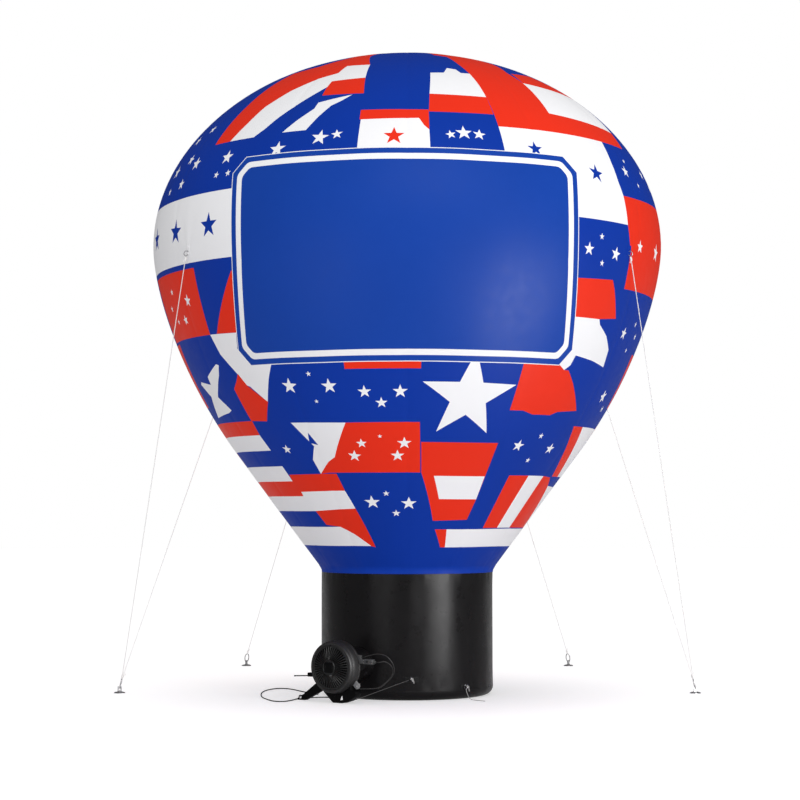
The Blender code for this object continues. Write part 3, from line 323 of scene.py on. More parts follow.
def corner_rounded(outline, radius, count=3):
    """An outline with each corner turned into a short curve that fits its edges."""
    most = 0.45
    points = []
    for k, corner in enumerate(outline):
        here = Vector(corner)
        before = Vector(outline[k - 1]) - here
        after = Vector(outline[(k + 1) % len(outline)]) - here
        start = here + before.normalized() * min(radius, before.length * most)
        end = here + after.normalized() * min(radius, after.length * most)
        for j in range(count + 1):
            t = j / count
            points.append(tuple((1 - t) ** 2 * start + 2 * t * (1 - t) * here + t * t * end))
    return points


def lathe(points, segments, closed=True, axis="Z"):
    """(radius, height) points turned about an axis: a ring if closed, else capped on it."""
    verts = []
    faces = []
    rings = []
    for radius, height in points:
        if radius == 0.0:
            rings.append([len(verts)])
            verts.append((0.0, 0.0, height))
            continue
        rings.append(list(range(len(verts), len(verts) + segments)))
        for k in range(segments):
            angle = 2 * pi * k / segments
            verts.append((radius * cos(angle), radius * sin(angle), height))
    count = len(rings) if closed else len(rings) - 1
    for j in range(count):
        low = rings[j]
        high = rings[(j + 1) % len(rings)]
        for k in range(segments):
            n = (k + 1) % segments
            if len(low) == 1:
                faces.append((low[0], high[k], high[n]))
            elif len(high) == 1:
                faces.append((low[k], high[0], low[n]))
            else:
                faces.append((low[k], high[k], high[n], low[n]))
    if axis == "Y":
        verts = [(x, z, -y) for x, y, z in verts]
    if axis == "X":
        verts = [(z, x, y) for x, y, z in verts]
    return verts, faces


def swept(points, radius, sides, closed=False):
    """A round bar along points, with flat ends unless it closes."""
    count = len(points)
    verts = []
    side = None
    for k, point in enumerate(points):
        before = points[k - 1] if (k or closed) else point
        after = points[(k + 1) % count] if (k < count - 1 or closed) else point
        along = (after - before).normalized()
        if side is None:
            side = along.orthogonal().normalized()
        side = square_to(side, along)
        across = along.cross(side)
        for s in range(sides):
            angle = 2 * pi * s / sides
            verts.append(point + side * (radius * cos(angle)) + across * (radius * sin(angle)))
    faces = joined(count, sides, wrap=closed)
    if not closed:
        faces.append(tuple(range(sides)))
        faces.append(tuple(range((count - 1) * sides, count * sides)))
    return verts, faces


def hoop(centre, first, second, wire, count=32):
    """A ring of round wire, through two half axes given as vectors."""
    turns = [2 * pi * k / count for k in range(count)]
    points = [centre + first * cos(turn) + second * sin(turn) for turn in turns]
    return swept(points, wire, 12, closed=True)


def slab(columns, rows, place_at):
    """A closed sheet from a grid. place_at(u, v, side) gives a point, side 0 outer and 1 inner."""
    verts = [place_at(u / columns, v / rows, side) for side in (0, 1)
             for v in range(rows + 1) for u in range(columns + 1)]
    wide = columns + 1
    layer = wide * (rows + 1)
    faces = []
    for v in range(rows):
        for u in range(columns):
            a = v * wide + u
            faces.append((a, a + 1, a + wide + 1, a + wide))
            faces.append((a + layer, a + wide + layer, a + wide + 1 + layer, a + 1 + layer))
    rim = [u for u in range(columns)] + [columns + v * wide for v in range(rows)]
    rim += [layer - 1 - u for u in range(columns)] + [(rows - v) * wide for v in range(rows)]
    for a, b in zip(rim, rim[1:] + rim[:1]):
        faces.append((a, a + layer, b + layer, b))
    return verts, faces


def smooth_route(points, step):
    """Points a step apart on a Catmull-Rom curve through a route."""
    fineness = 24
    nodes = [Vector(p) for p in points]
    nodes = [2 * nodes[0] - nodes[1]] + nodes + [2 * nodes[-1] - nodes[-2]]
    fine = []
    for a, b, c, d in zip(nodes, nodes[1:], nodes[2:], nodes[3:]):
        for k in range(fineness):
            t = k / fineness
            fine.append(0.5 * (2 * b + (c - a) * t + (2 * a - 5 * b + 4 * c - d) * t * t
                               + (3 * b - a - 3 * c + d) * t ** 3))
    fine.append(nodes[-2])
    total = length_of(fine)
    count = max(2, round(total / step))
    spacing = total / count
    route = [fine[0]]
    travelled = 0.0
    for p, q in zip(fine, fine[1:]):
        span = (q - p).length
        while len(route) < count and travelled + span >= spacing * len(route) - 1e-9:
            route.append(p.lerp(q, (spacing * len(route) - travelled) / span))
        travelled += span
    route.append(fine[-1])
    return route


def split(outline, step):
    """An outline's points at most a step apart."""
    points = []
    for (x0, y0), (x1, y1) in zip(outline, outline[1:] + outline[:1]):
        count = max(1, ceil(hypot(x1 - x0, y1 - y0) / step))
        points += [(x0 + (x1 - x0) * k / count, y0 + (y1 - y0) * k / count) for k in range(count)]
    return points


# Materials

PATTERN_OUTPUTS = (("Colour", "NodeSocketColor"), ("Roughness", "NodeSocketFloat"),
                   ("Height", "NodeSocketFloat"))


def new_group(name, inputs):
    """A node group that gives a colour, a roughness and a height, and its two end nodes."""
    group = bpy.data.node_groups.new(name, "ShaderNodeTree")
    for label, value in inputs:
        kind = "NodeSocketColor" if isinstance(value, tuple) else "NodeSocketFloat"
        socket = group.interface.new_socket(name=label, in_out="INPUT", socket_type=kind)
        socket.default_value = value
    for label, kind in PATTERN_OUTPUTS:
        group.interface.new_socket(name=label, in_out="OUTPUT", socket_type=kind)
    return group, group.nodes.new("NodeGroupInput"), group.nodes.new("NodeGroupOutput")


def feed(tree, value, socket):
    """Set a socket to a number, or link it to another socket."""
    if isinstance(value, (int, float)):
        socket.default_value = value
    else:
        tree.links.new(value, socket)


def maths(tree, operation, *values):
    node = tree.nodes.new("ShaderNodeMath")
    node.operation = operation
    for socket, value in zip(node.inputs, values):
        feed(tree, value, socket)
    return node.outputs[0]


def noise_of(tree, coordinates, scale, detail=3.0, roughness=0.55):
    node = tree.nodes.new("ShaderNodeTexNoise")
    node.inputs["Scale"].default_value = scale
    node.inputs["Detail"].default_value = detail
    node.inputs["Roughness"].default_value = roughness
    tree.links.new(coordinates, node.inputs["Vector"])
    return node.outputs["Fac"]


def object_coordinates(tree):
    return tree.nodes.new("ShaderNodeTexCoord").outputs["Object"]


def cloth_group():
    """Woven coated cloth: broad unevenness, faint creases and a fine weave."""
    if "Coated Cloth" in bpy.data.node_groups:
        return bpy.data.node_groups["Coated Cloth"]
    group, given, made = new_group(
        "Coated Cloth",
        [("Colour", (0.5, 0.5, 0.5, 1.0)), ("Shade", 0.06), ("Roughness", 0.5), ("Weave", 160.0)])
    where = object_coordinates(group)
    broad = noise_of(group, where, 0.9, 2.0)
    fine = noise_of(group, where, 14.0, 4.0)
    shade = maths(group, "MULTIPLY_ADD", broad, 0.75, maths(group, "MULTIPLY", fine, 0.25))
    centred = maths(group, "MULTIPLY", maths(group, "SUBTRACT", shade, 0.5), given.outputs["Shade"])
    bright = maths(group, "ADD", 1.0, maths(group, "MULTIPLY", centred, 4.0))
    tint = group.nodes.new("ShaderNodeHueSaturation")
    group.links.new(bright, tint.inputs["Value"])
    group.links.new(given.outputs["Colour"], tint.inputs["Color"])
    group.links.new(tint.outputs["Color"], made.inputs["Colour"])
    dull = maths(group, "MULTIPLY", maths(group, "SUBTRACT", fine, 0.5), 0.20)
    group.links.new(maths(group, "ADD", given.outputs["Roughness"], dull), made.inputs["Roughness"])
    threads = []
    for direction in ("X", "Z"):
        wave = group.nodes.new("ShaderNodeTexWave")
        wave.wave_type = "BANDS"
        wave.bands_direction = direction
        wave.inputs["Distortion"].default_value = 0.3
        group.links.new(given.outputs["Weave"], wave.inputs["Scale"])
        group.links.new(where, wave.inputs["Vector"])
        threads.append(wave.outputs["Fac"])
    weave = maths(group, "MULTIPLY", maths(group, "ADD", *threads), 0.02)
    crease = maths(group, "MULTIPLY", noise_of(group, where, 3.5, 3.0), 0.7)
    group.links.new(maths(group, "ADD", weave, crease), made.inputs["Height"])
    return group


def plastic_group():
    """Moulded plastic: fine grain, broad hollows and light scuffs."""
    if "Moulded Plastic" in bpy.data.node_groups:
        return bpy.data.node_groups["Moulded Plastic"]
    group, given, made = new_group(
        "Moulded Plastic",
        [("Colour", (0.02, 0.02, 0.02, 1.0)), ("Scuff", (0.10, 0.10, 0.10, 1.0)), ("Scuffs", 0.3),
         ("Roughness", 0.42)])
    where = object_coordinates(group)
    worn = noise_of(group, where, 22.0, 6.0, 0.7)
    mask = group.nodes.new("ShaderNodeValToRGB")
    mask.color_ramp.elements[0].position = 0.56
    mask.color_ramp.elements[1].position = 0.78
    group.links.new(worn, mask.inputs["Fac"])
    share = maths(group, "MULTIPLY", mask.outputs["Color"], given.outputs["Scuffs"])
    mix = group.nodes.new("ShaderNodeMix")
    mix.data_type = "RGBA"
    group.links.new(share, mix.inputs["Factor"])
    group.links.new(given.outputs["Colour"], mix.inputs["A"])
    group.links.new(given.outputs["Scuff"], mix.inputs["B"])
    group.links.new(mix.outputs["Result"], made.inputs["Colour"])
    rough = maths(group, "MULTIPLY_ADD", share, 0.35, given.outputs["Roughness"])
    group.links.new(rough, made.inputs["Roughness"])
    grain = maths(group, "MULTIPLY", noise_of(group, where, 900.0, 2.0), 0.25)
    broad = noise_of(group, where, 18.0, 2.0)
    group.links.new(maths(group, "ADD", grain, broad), made.inputs["Height"])
    return group


def finish(name, group, values, bump, metallic=0.0, specular=0.5, sheen=0.0):
    """A Principled material whose colour, roughness and bump come from a group."""
    found = bpy.data.materials.get(name)
    if found:
        return found
    material = bpy.data.materials.new(name)
    material.use_nodes = True
    tree = material.node_tree
    shader = tree.nodes["Principled BSDF"]
    pattern = tree.nodes.new("ShaderNodeGroup")
    pattern.node_tree = group
    for label, value in values.items():
        pattern.inputs[label].default_value = (*value, 1.0) if hasattr(value, "__len__") else value
    tree.links.new(pattern.outputs["Colour"], shader.inputs["Base Color"])
    tree.links.new(pattern.outputs["Roughness"], shader.inputs["Roughness"])
    height = tree.nodes.new("ShaderNodeBump")
    height.inputs["Strength"].default_value = bump[0]
    height.inputs["Distance"].default_value = bump[1]
    tree.links.new(pattern.outputs["Height"], height.inputs["Height"])
    tree.links.new(height.outputs["Normal"], shader.inputs["Normal"])
    shader.inputs["Metallic"].default_value = metallic
    shader.inputs["Specular IOR Level"].default_value = specular
    shader.inputs["Sheen Weight"].default_value = sheen
    material.diffuse_color = (*values["Colour"], 1.0)
    return material


def cloth(name, colour, roughness=0.5, shade=0.06, weave=160.0, bump=(0.35, 0.004), specular=0.35, sheen=0.0):
    values = {"Colour": tuple(colour), "Shade": shade, "Roughness": roughness, "Weave": weave}
    return finish(name, cloth_group(), values, bump, specular=specular, sheen=sheen)


def plastic(name, colour, roughness=0.42, scuffs=0.25, scuff=0.10, bump=(0.25, 0.0006), metallic=0.0,
            specular=0.5):
    scuff = scuff if isinstance(scuff, tuple) else (scuff, scuff, scuff)
    values = {"Colour": tuple(colour), "Scuff": scuff, "Scuffs": scuffs, "Roughness": roughness}
    return finish(name, plastic_group(), values, bump, metallic=metallic, specular=specular)


def print_looks():
    """The envelope's three printed colours, in the order BLUE, RED, WHITE."""
    given = bpy.context.scene.balloon_envelope
    return [
        cloth("print_blue", given.blue, 0.52, 0.05, specular=0.045),
        cloth("print_red", given.red, 0.46, 0.03, specular=0.06),
        cloth("print_white", given.white, 0.50, 0.012, specular=0.06),
    ]


def banner_looks():
    """The panel's blue and the white of its frame line."""
    blue = bpy.context.scene.balloon_banner.blue
    white = bpy.context.scene.balloon_envelope.white
    return [cloth("banner_blue", blue, 0.46, 0.05, 200.0, specular=0.06),
            cloth("banner_white", white, 0.5, 0.012, 200.0, specular=0.06)]


def base_look():
    black = bpy.context.scene.balloon_base.black
    return cloth("base_coated_cloth", black, 0.30, 0.10, 260.0, (0.30, 0.010), specular=0.10)


def webbing_look():
    return cloth("black_webbing", (0.007, 0.007, 0.0075), 0.72, 0.10, 420.0, (0.6, 0.0012), specular=0.10)


def thread_look():
    return cloth("pale_thread", (0.04, 0.04, 0.04), 0.6)


def dark_rope_look():
    return cloth("dark_rope", (0.055, 0.053, 0.052), 0.7, 0.05, 300.0, (0.5, 0.0008))


def grey_rope_look():
    return cloth("grey_cord", (0.26, 0.255, 0.25), 0.78, 0.05, 300.0, (0.6, 0.001), sheen=0.1)


def rope_look():
    pale = bpy.context.scene.balloon_rigging.rope
    return cloth("pale_rope", pale, 0.75, 0.05, 300.0, (0.6, 0.001), sheen=0.2)


def steel_look():
    grey = bpy.context.scene.balloon_rigging.steel
    return plastic("dull_steel", grey, 0.42, 0.5, (0.16, 0.155, 0.15), (0.3, 0.0005), metallic=0.85)


def bright_steel_look():
    return plastic("bright_steel", (0.72, 0.72, 0.73), 0.22, 0.2, 0.3, (0.2, 0.0003), metallic=1.0)


def drum_look():
    black = bpy.context.scene.balloon_blower.plastic
    return plastic("drum_shell", black, 0.50, 0.30, (0.024, 0.020, 0.020), specular=0.38)


def guard_look():
    return plastic("guard_plastic", (0.0024, 0.0024, 0.0026), 0.34, 0.15, 0.007, specular=0.40)


def fan_look():
    return plastic("fan_black", bpy.context.scene.balloon_blower.fan, 0.45, 0.10, 0.006, specular=0.12)


def support_look():
    return plastic("support_plastic", (0.0024, 0.0024, 0.0026), 0.50, 0.15, 0.006, specular=0.05)


def grey_look():
    return plastic("switch_grey", bpy.context.scene.balloon_blower.grey, 0.55, 0.3, 0.065, specular=0.15)


# A real clip on the foot; its near-white colour is a painted highlight that stands in for the glint on metal.
def painted_highlight_clip_look():
    return plastic("painted_highlight_clip", (0.85, 0.85, 0.85), 0.40, 0.0)


def pale_plastic_look():
    return plastic("pale_plastic", (0.20, 0.20, 0.205), 0.45, 0.4, 0.08)


def cable_look():
    return plastic("black_cable", bpy.context.scene.balloon_cords.black, 0.50, 0.2, 0.02)


def lead_look():
    return plastic("grey_cable", bpy.context.scene.balloon_cords.pale, 0.45, 0.2, 0.04, specular=0.20)


# Stage

WHITE_LIGHT = (1.0, 1.0, 1.0, 1.0)
ENVELOPE_AIM = 2.4
BASE_AIM = 0.55
LEFT_STRIP_SHARE = 0.15
# Reach of the floor's painted shadow, in metres from the balloon's axis
PAINTED_SHADOW_START = 0.55
PAINTED_SHADOW_END = 2.60
FLOOR_HALF = 60.0


def soft_light(name, place, aim_height, box_size, power, only_gloss):
    """A softbox aimed at the balloon's axis, unseen by the camera."""
    lamp = bpy.data.lights.new(name, "AREA")
    lamp.shape = "RECTANGLE"
    lamp.size, lamp.size_y = box_size
    lamp.energy = power
    item = new_item(name, lamp)
    item.location = place
    item.rotation_mode = "QUATERNION"
    item.rotation_quaternion = (Vector((0.0, 0.0, aim_height)) - Vector(place)).to_track_quat("-Z", "Y")
    item.visible_camera = False
    item.visible_diffuse = not only_gloss


class OBJECT_OT_balloon_stage(bpy.types.Operator):
    """Set up the camera, the pale floor and the soft lights"""
    bl_idname = "balloon.stage"
    bl_label = "Stage"

    def execute(self, context):
        given = context.scene.balloon_stage
        self.add_camera(context, given)
        self.add_floor(given)
        self.add_room(context, given)
        self.add_lights(given)
        context.scene.view_settings.view_transform = "Standard"
        return {"FINISHED"}

    def add_camera(self, context, given):
        lens = bpy.data.cameras.new("camera")
        lens.sensor_width = 36.0
        lens.lens = given.camera_lens
        lens.clip_end = 200.0
        camera = new_item("camera", lens)
        camera.location = (0.0, -given.camera_distance, given.camera_height)
        camera.rotation_euler = (pi / 2 + given.camera_pitch, 0.0, given.camera_yaw)
        context.scene.camera = camera

    def add_floor(self, given):
        mesh = bpy.data.meshes.new("floor")
        mesh.from_pydata([(x, y, 0.0) for x, y in rectangle(FLOOR_HALF)], [], [(0, 1, 2, 3)])
        mesh.materials.append(self.paper_look(given))
        ground = new_item("floor", mesh)

    def paper_look(self, given):
        """White paper that glows to the camera alone, and less so close to the balloon: a painted shadow
        under it.
        """
        paper = plastic("floor_white", given.floor_colour, 0.8, 0.0, bump=(0.02, 0.001), specular=0.1)
        tree = paper.node_tree
        shader = tree.nodes["Principled BSDF"]
        shader.inputs["Emission Color"].default_value = WHITE_LIGHT
        shader.inputs["Emission Strength"].default_value = given.floor_glow
        seen = tree.nodes.new("ShaderNodeLightPath").outputs["Is Camera Ray"]
        distance = tree.nodes.new("ShaderNodeVectorMath")
        distance.operation = "LENGTH"
        tree.links.new(object_coordinates(tree), distance.inputs[0])
        # The glow is dimmed close to the balloon, as a painted shadow
        painted_shadow_ramp = tree.nodes.new("ShaderNodeMapRange")
        painted_shadow_ramp.interpolation_type = "SMOOTHSTEP"
        painted_shadow_ramp.inputs["From Min"].default_value = PAINTED_SHADOW_START
        painted_shadow_ramp.inputs["From Max"].default_value = PAINTED_SHADOW_END
        painted_shadow_ramp.inputs["To Min"].default_value = given.floor_painted_shadow
        tree.links.new(distance.outputs["Value"], painted_shadow_ramp.inputs["Value"])
        glow = maths(tree, "MULTIPLY", seen, painted_shadow_ramp.outputs["Result"])
        tree.links.new(glow, shader.inputs["Emission Color"])
        return paper

    def add_room(self, context, given):
        """White to the camera, softer as light, and darker still in reflections."""
        world = bpy.data.worlds.new("white_room")
        world.use_nodes = True
        tree = world.node_tree
        back = tree.nodes["Background"]
        back.inputs["Color"].default_value = WHITE_LIGHT
        path = tree.nodes.new("ShaderNodeLightPath")
        gloss = maths(tree, "MULTIPLY", path.outputs["Is Glossy Ray"], given.sky_gloss - given.sky)
        seen = maths(tree, "MULTIPLY", path.outputs["Is Camera Ray"], 1.0 - given.sky)
        strength = maths(tree, "ADD", maths(tree, "ADD", gloss, seen), given.sky)
        tree.links.new(strength, back.inputs["Strength"])
        context.scene.world = world

    def add_lights(self, given):
        # Each softbox: name, place, height it is aimed at, width and height, power, only in gloss
        left_strip = given.strip * LEFT_STRIP_SHARE
        for light in (("key_softbox", (6.6, -7.0, 3.2), ENVELOPE_AIM, (2.2, 5.6), given.key, False),
                      ("fill_softbox", (-5.0, -10.0, 4.6), ENVELOPE_AIM, (1.6, 5.0), given.fill, False),
                      ("base_strip_right", (3.05, -3.45, 1.25), BASE_AIM, (1.5, 2.4), given.strip, True),
                      ("base_strip_left", (-3.2, -5.6, 1.25), BASE_AIM, (0.8, 2.4), left_strip, True)):
            soft_light(*light)
        sun = bpy.data.lights.new("front_light", "SUN")
        sun.energy = given.front
        sun.angle = radians(35.0)
        sun.use_shadow = False
        new_item("front_light", sun).rotation_euler = (radians(55.0), 0.0, radians(14.0))


# Cords

def from_blower(x, y, z):
    return BLOWER @ Vector((x, y, z))


MAINS_FLOOR = 0.0048
MAINS_ROUTE = (
    from_blower(0.0, 0.0803, -0.222), from_blower(0.0, 0.122, -0.222),
    from_blower(-0.005, 0.156, -0.240), (-0.452, -0.620, 0.0105), (-0.470, -0.570, MAINS_FLOOR),
    (-0.505, -0.510, MAINS_FLOOR), (-0.562, -0.436, MAINS_FLOOR), (-0.632, -0.400, MAINS_FLOOR),
    (-0.712, -0.425, MAINS_FLOOR), (-0.789, -0.467, MAINS_FLOOR), (-0.842, -0.545, MAINS_FLOOR),
    (-0.876, -0.655, MAINS_FLOOR), (-0.933, -0.740, MAINS_FLOOR), (-1.003, -0.714, MAINS_FLOOR),
    (-1.066, -0.565, MAINS_FLOOR),
    (-1.115, -0.385, MAINS_FLOOR), (-1.139, -0.165, MAINS_FLOOR), (-1.141, 0.045, MAINS_FLOOR),
    (-1.112, 0.232, MAINS_FLOOR), (-1.052, 0.348, MAINS_FLOOR), (-0.982, 0.350, MAINS_FLOOR),
    (-0.912, 0.262, MAINS_FLOOR), (-0.851, 0.127, MAINS_FLOOR), (-0.794, 0.018, MAINS_FLOOR),
    (-0.757, -0.050, 0.0085), (-0.735, -0.094, 0.0142), (-0.722, -0.122, 0.0150),
)
LOOP_ROUTE = (
    from_blower(0.2143, 0.0375, 0.079), from_blower(0.228, 0.0375, 0.079), from_blower(0.242, 0.0385, 0.081),
    (-0.292, -0.905, 0.3565),
    (-0.222, -0.917, 0.371), (-0.158, -0.917, 0.356), (-0.114, -0.911, 0.308), (-0.097, -0.903, 0.252),
    (-0.114, -0.899, 0.203), (-0.163, -0.896, 0.151), (-0.220, -0.893, 0.1175),
    from_blower(0.210, 0.0538, -0.1555), from_blower(0.178, 0.0538, -0.156),
    from_blower(0.1663, 0.0538, -0.156),
)
SWITCH_ROUTE = (
    from_blower(0.3423, 0.047, 0.0475), from_blower(0.356, 0.047, 0.0475),
    from_blower(0.370, 0.0478, 0.0477), (-0.165, -0.961, 0.317),
    (-0.124, -0.946, 0.290), (-0.107, -0.925, 0.252), (-0.121, -0.9075, 0.203), (-0.169, -0.9045, 0.152),
    (-0.224, -0.9015, 0.1195), from_blower(0.210, 0.0462, -0.1555), from_blower(0.178, 0.0462, -0.156),
    from_blower(0.1663, 0.0462, -0.156),
)
TAIL_ROUTE = (
    (0.4575, -0.5720, 0.0400), (0.4680, -0.5790, 0.0180), (0.4860, -0.5880, 0.0050),
    (0.5080, -0.6020, 0.0028), (0.5400, -0.6380, 0.0028), (0.5860, -0.6900, 0.0028),
)

# The base's two tabs: azimuth, height of the ring, side the ring leans to, width
TAB_LEFT = (2.7, 0.168, -1, 0.105)
TAB_RIGHT = (39.5, 0.098, 1, 0.058)
TAB_THICKNESS = 0.004
RING_LIFT = RING_RADIUS + RING_WIRE + 0.0012
RING_LEAN = 0.35
FACET = 7.5
TAIL_BEND = 0.040


def directions(azimuth):
    """The level directions outward and sideways at an azimuth."""
    outward = round_z(azimuth, 1.0, 0.0)
    return outward, Vector((-outward.y, outward.x, 0.0))


def base_point(azimuth, height, lift):
    """A point off the flat of the base wall's facet at an azimuth."""
    start = azimuth // FACET * FACET
    low, high = (round_z(turn, BASE_RADIUS + lift, height) for turn in (start, start + FACET))
    return low.lerp(high, (azimuth - start) / FACET)


def base_ring(azimuth, height):
    """The middle of a base tab's ring."""
    return base_point(azimuth, height, GAP + TAB_THICKNESS) + directions(azimuth)[0] * RING_LIFT


def base_ring_plane(azimuth, lean):
    """The upward and outward directions in the plane of a base tab's ring."""
    outward, sideways = directions(azimuth)
    up = (UP + sideways * RING_LEAN * lean).normalized()
    return up, square_to(outward, up)


def tail_route():
    """The rope's tail, from the right tab's ring to its end on the floor."""
    azimuth, height, lean, _ = TAB_RIGHT
    ring = base_ring(azimuth, height)
    up, across = base_ring_plane(azimuth, lean)
    pull = (across * 0.5 - up).normalized()
    return [ring + pull * (RING_RADIUS + RING_WIRE + GAP), ring + pull * TAIL_BEND] + list(TAIL_ROUTE)


def add_cord(name, route, diameter, look, step):
    """A cord as a curve along its route."""
    points = smooth_route(route, step)
    curve = bpy.data.curves.new(name, "CURVE")
    curve.dimensions = "3D"
    curve.bevel_depth = diameter / 2
    curve.bevel_resolution = 3
    curve.use_fill_caps = True
    spline = curve.splines.new("POLY")
    spline.points.add(len(points) - 1)
    for item, point in zip(spline.points, points):
        item.co = (*point, 1.0)
    curve.materials.append(look)
    piece = settle(new_item(name, curve), [name.removeprefix("soft_")])


def ribbed(count, start, pitch, radius, change, groove, marks):
    """(radius, along) points of ribs in a row, with grooves between them."""
    points = []
    for k in range(count):
        wide, place = radius + change * k, start + pitch * k
        points += [(wide, place), (wide, place + marks[0]),
                   (wide - groove, place + marks[1]), (wide - groove, place + marks[2])]
    return points


def add_plug():
    """The mains plug: a ribbed grip, a tapered strain relief and two flat pins."""
    end, before = Vector(MAINS_ROUTE[-1]), Vector(MAINS_ROUTE[-2])
    along = end - before
    along.z = 0.0
    along.normalize()
    plug = Solid(axes(along, Vector((-along.y, along.x, 0.0)), UP, end + along * GAP))
    profile = [(0.0, 0.0), (0.0060, 0.0)]
    profile += ribbed(5, 0.001, 0.003, 0.0062, 0.0004, 0.0009, (0.0018, 0.0020, 0.0028))
    profile += [(0.0090, 0.0170), (0.0140, 0.0240), (0.0145, 0.0262)]
    for k in range(4):
        start = 0.028 + 0.0035 * k
        profile += [(0.0145, start), (0.0136, start + 0.0008), (0.0136, start + 0.0016),
                    (0.0145, start + 0.0024)]
    profile += [(0.0145, 0.0440), (0.0138, 0.0455), (0.0125, 0.0460), (0.0, 0.0460)]
    plug.add(lathe(profile, 32, closed=False, axis="X"))
    for middle in (-0.0063, 0.0063):
        pin = box((0.042, middle - 0.0008, -0.0032), (0.063, middle + 0.0008, 0.0032))
        plug.add(rounded(pin, 0.0005), 1)
    return add_piece("mains_plug_moulded", plug, [cable_look(), steel_look()], ["mains_plug"])


class OBJECT_OT_balloon_cords(bpy.types.Operator):
    """Lay the mains lead with its plug, the two thin leads and the rope's tail"""
    bl_idname = "balloon.cords"
    bl_label = "Cords"

    def execute(self, context):
        given = context.scene.balloon_cords
        plug = add_plug()
        add_cord("soft_mains_cord", MAINS_ROUTE, given.mains, cable_look(),
                 0.012)
        for name, route in (("soft_loop_lead", LOOP_ROUTE), ("soft_switch_lead", SWITCH_ROUTE)):
            add_cord(name, route, given.lead, lead_look(), 0.006)
        add_cord("soft_rope_tail", tail_route(), given.rope, grey_rope_look(),
                 0.004)
        return {"FINISHED"}


# Envelope

CURVE_STEPS = 400
GORE_WIDTH = 360.0 / GORES
FLAT_GIRTH = 1.7
SLOPE_REACH = 0.012
BLUE, RED, WHITE = 0, 1, 2


def fabric_curve():
    """(radius, height) along the envelope from the crown to the base, closely spaced."""
    points = []
    for k in range(CURVE_STEPS + 1):
        angle = k / CURVE_STEPS * pi / 2
        points.append((BULGE_RADIUS * sin(angle), BULGE_HEIGHT + CROWN_RISE * cos(angle)))
    slope = Vector((TAPER_RADIUS - NECK_RADIUS, TAPER_HEIGHT - NECK_HEIGHT)).normalized()
    a = Vector((BULGE_RADIUS, BULGE_HEIGHT))
    b = a - Vector((0, BULGE_PULL))
    d = Vector((TAPER_RADIUS, TAPER_HEIGHT))
    c = d + slope * TAPER_PULL
    for k in range(1, CURVE_STEPS + 1):
        t = k / CURVE_STEPS
        p = (1 - t) ** 3 * a + 3 * (1 - t) ** 2 * t * b + 3 * (1 - t) * t * t * c + t ** 3 * d
        points.append((p.x, p.y))
    return points + [(NECK_RADIUS, NECK_HEIGHT), (BASE_RADIUS, BASE_TOP)]


RADII, HEIGHTS = np.array(fabric_curve()).T
ARCS = np.concatenate([[0.0], np.cumsum(np.hypot(np.diff(RADII), np.diff(HEIGHTS)))])
CAP_ARC = float(np.interp(CAP_RADIUS, RADII[:CURVE_STEPS + 1], ARCS[:CURVE_STEPS + 1]))
STAY_ARC = float(np.interp(-STAY_HEIGHT, -HEIGHTS, ARCS))
BASE_ARC = float(ARCS[-1])

# Azimuth of each stay's tab
STAYS = (-54.2, 55.0, -139.0, 135.5, -165.8, 166.8)


def radius_at(arc):
    return np.interp(arc, ARCS, RADII)


def height_at(arc):
    return np.interp(arc, ARCS, HEIGHTS)


def folds(azimuth, arc):
    """How far the blown-up fabric stands off its plain turned shape."""
    turn = np.radians(azimuth)
    # The broad unevenness, none at the crown
    swell = bpy.context.scene.balloon_envelope.swell
    lift = swell * (np.sin(5 * turn + 1.3 * arc) + np.sin(9 * turn - 2.1 * arc + 1.0) * 0.7
                    + np.sin(3 * turn + 3.3 * arc + 2.0) * 0.6)
    lift *= np.clip(arc / 1.5, 0.0, 1.0)
    # A groove along each seam
    seam = np.abs((azimuth + GORE_WIDTH / 2) % GORE_WIDTH - GORE_WIDTH / 2)
    lift -= 0.0014 * np.exp(-(np.radians(seam) * radius_at(arc) / 0.011) ** 2)
    # A pulled peak at each stay's tab, and creases that fan out above it
    for place in STAYS:
        across = np.radians((azimuth - place + 180.0) % 360.0 - 180.0) * 2.0
        above = STAY_ARC - arc
        lift += 0.0035 * np.exp(-(np.hypot(across, above) / 0.10) ** 2)
        fan = np.arctan2(across, np.maximum(above, 0.0) + 0.05)
        reach = np.exp(-(above / 0.35) ** 2) * np.clip((above + 0.03) / 0.08, 0.0, 1.0)
        lift += 0.0018 * np.cos(fan * 9.0) * reach * np.exp(-(fan / 0.5) ** 2)
    # Gathers where the fabric is sewn to the base
    near_base = np.clip((arc - (BASE_ARC - 0.30)) / 0.30, 0.0, 1.0) ** 2
    lift += 0.0016 * near_base * (np.sin(23 * turn + 0.7) + 0.7 * np.sin(37 * turn + 2.0))
    return lift * np.clip((BASE_ARC - arc) / 0.02, 0.0, 1.0)


def skin(azimuth, arc, lift=0.0):
    """Points on the envelope's outside, as an array of (x, y, z)."""
    azimuth, arc = np.asarray(azimuth, float), np.asarray(arc, float)
    low, high = np.maximum(arc - SLOPE_REACH, 0.0), np.minimum(arc + SLOPE_REACH, BASE_ARC)
    run, rise = radius_at(high) - radius_at(low), height_at(low) - height_at(high)
    length = np.hypot(run, rise)
    off = lift + folds(azimuth, arc)
    radius = radius_at(arc) + off * rise / length
    height = height_at(arc) + off * run / length
    turn = np.radians(azimuth)
    return np.stack([radius * np.sin(turn), -radius * np.cos(turn), height], axis=-1)


def skin_point(azimuth, arc, lift=0.0):
    return Vector(skin([azimuth], [arc], lift)[0])


def skin_normals(azimuth, arc):
    """The outward direction of the folded fabric at each place."""
    azimuth, arc = np.asarray(azimuth, float), np.asarray(arc, float)
    step = 0.010
    turn = np.degrees(step / np.maximum(radius_at(arc), 0.1))
    across = skin(azimuth + turn, arc) - skin(azimuth - turn, arc)
    down = skin(azimuth, np.minimum(arc + step, BASE_ARC)) - skin(azimuth, arc - step)
    normal = np.cross(down, across)
    return normal / np.linalg.norm(normal, axis=-1, keepdims=True)


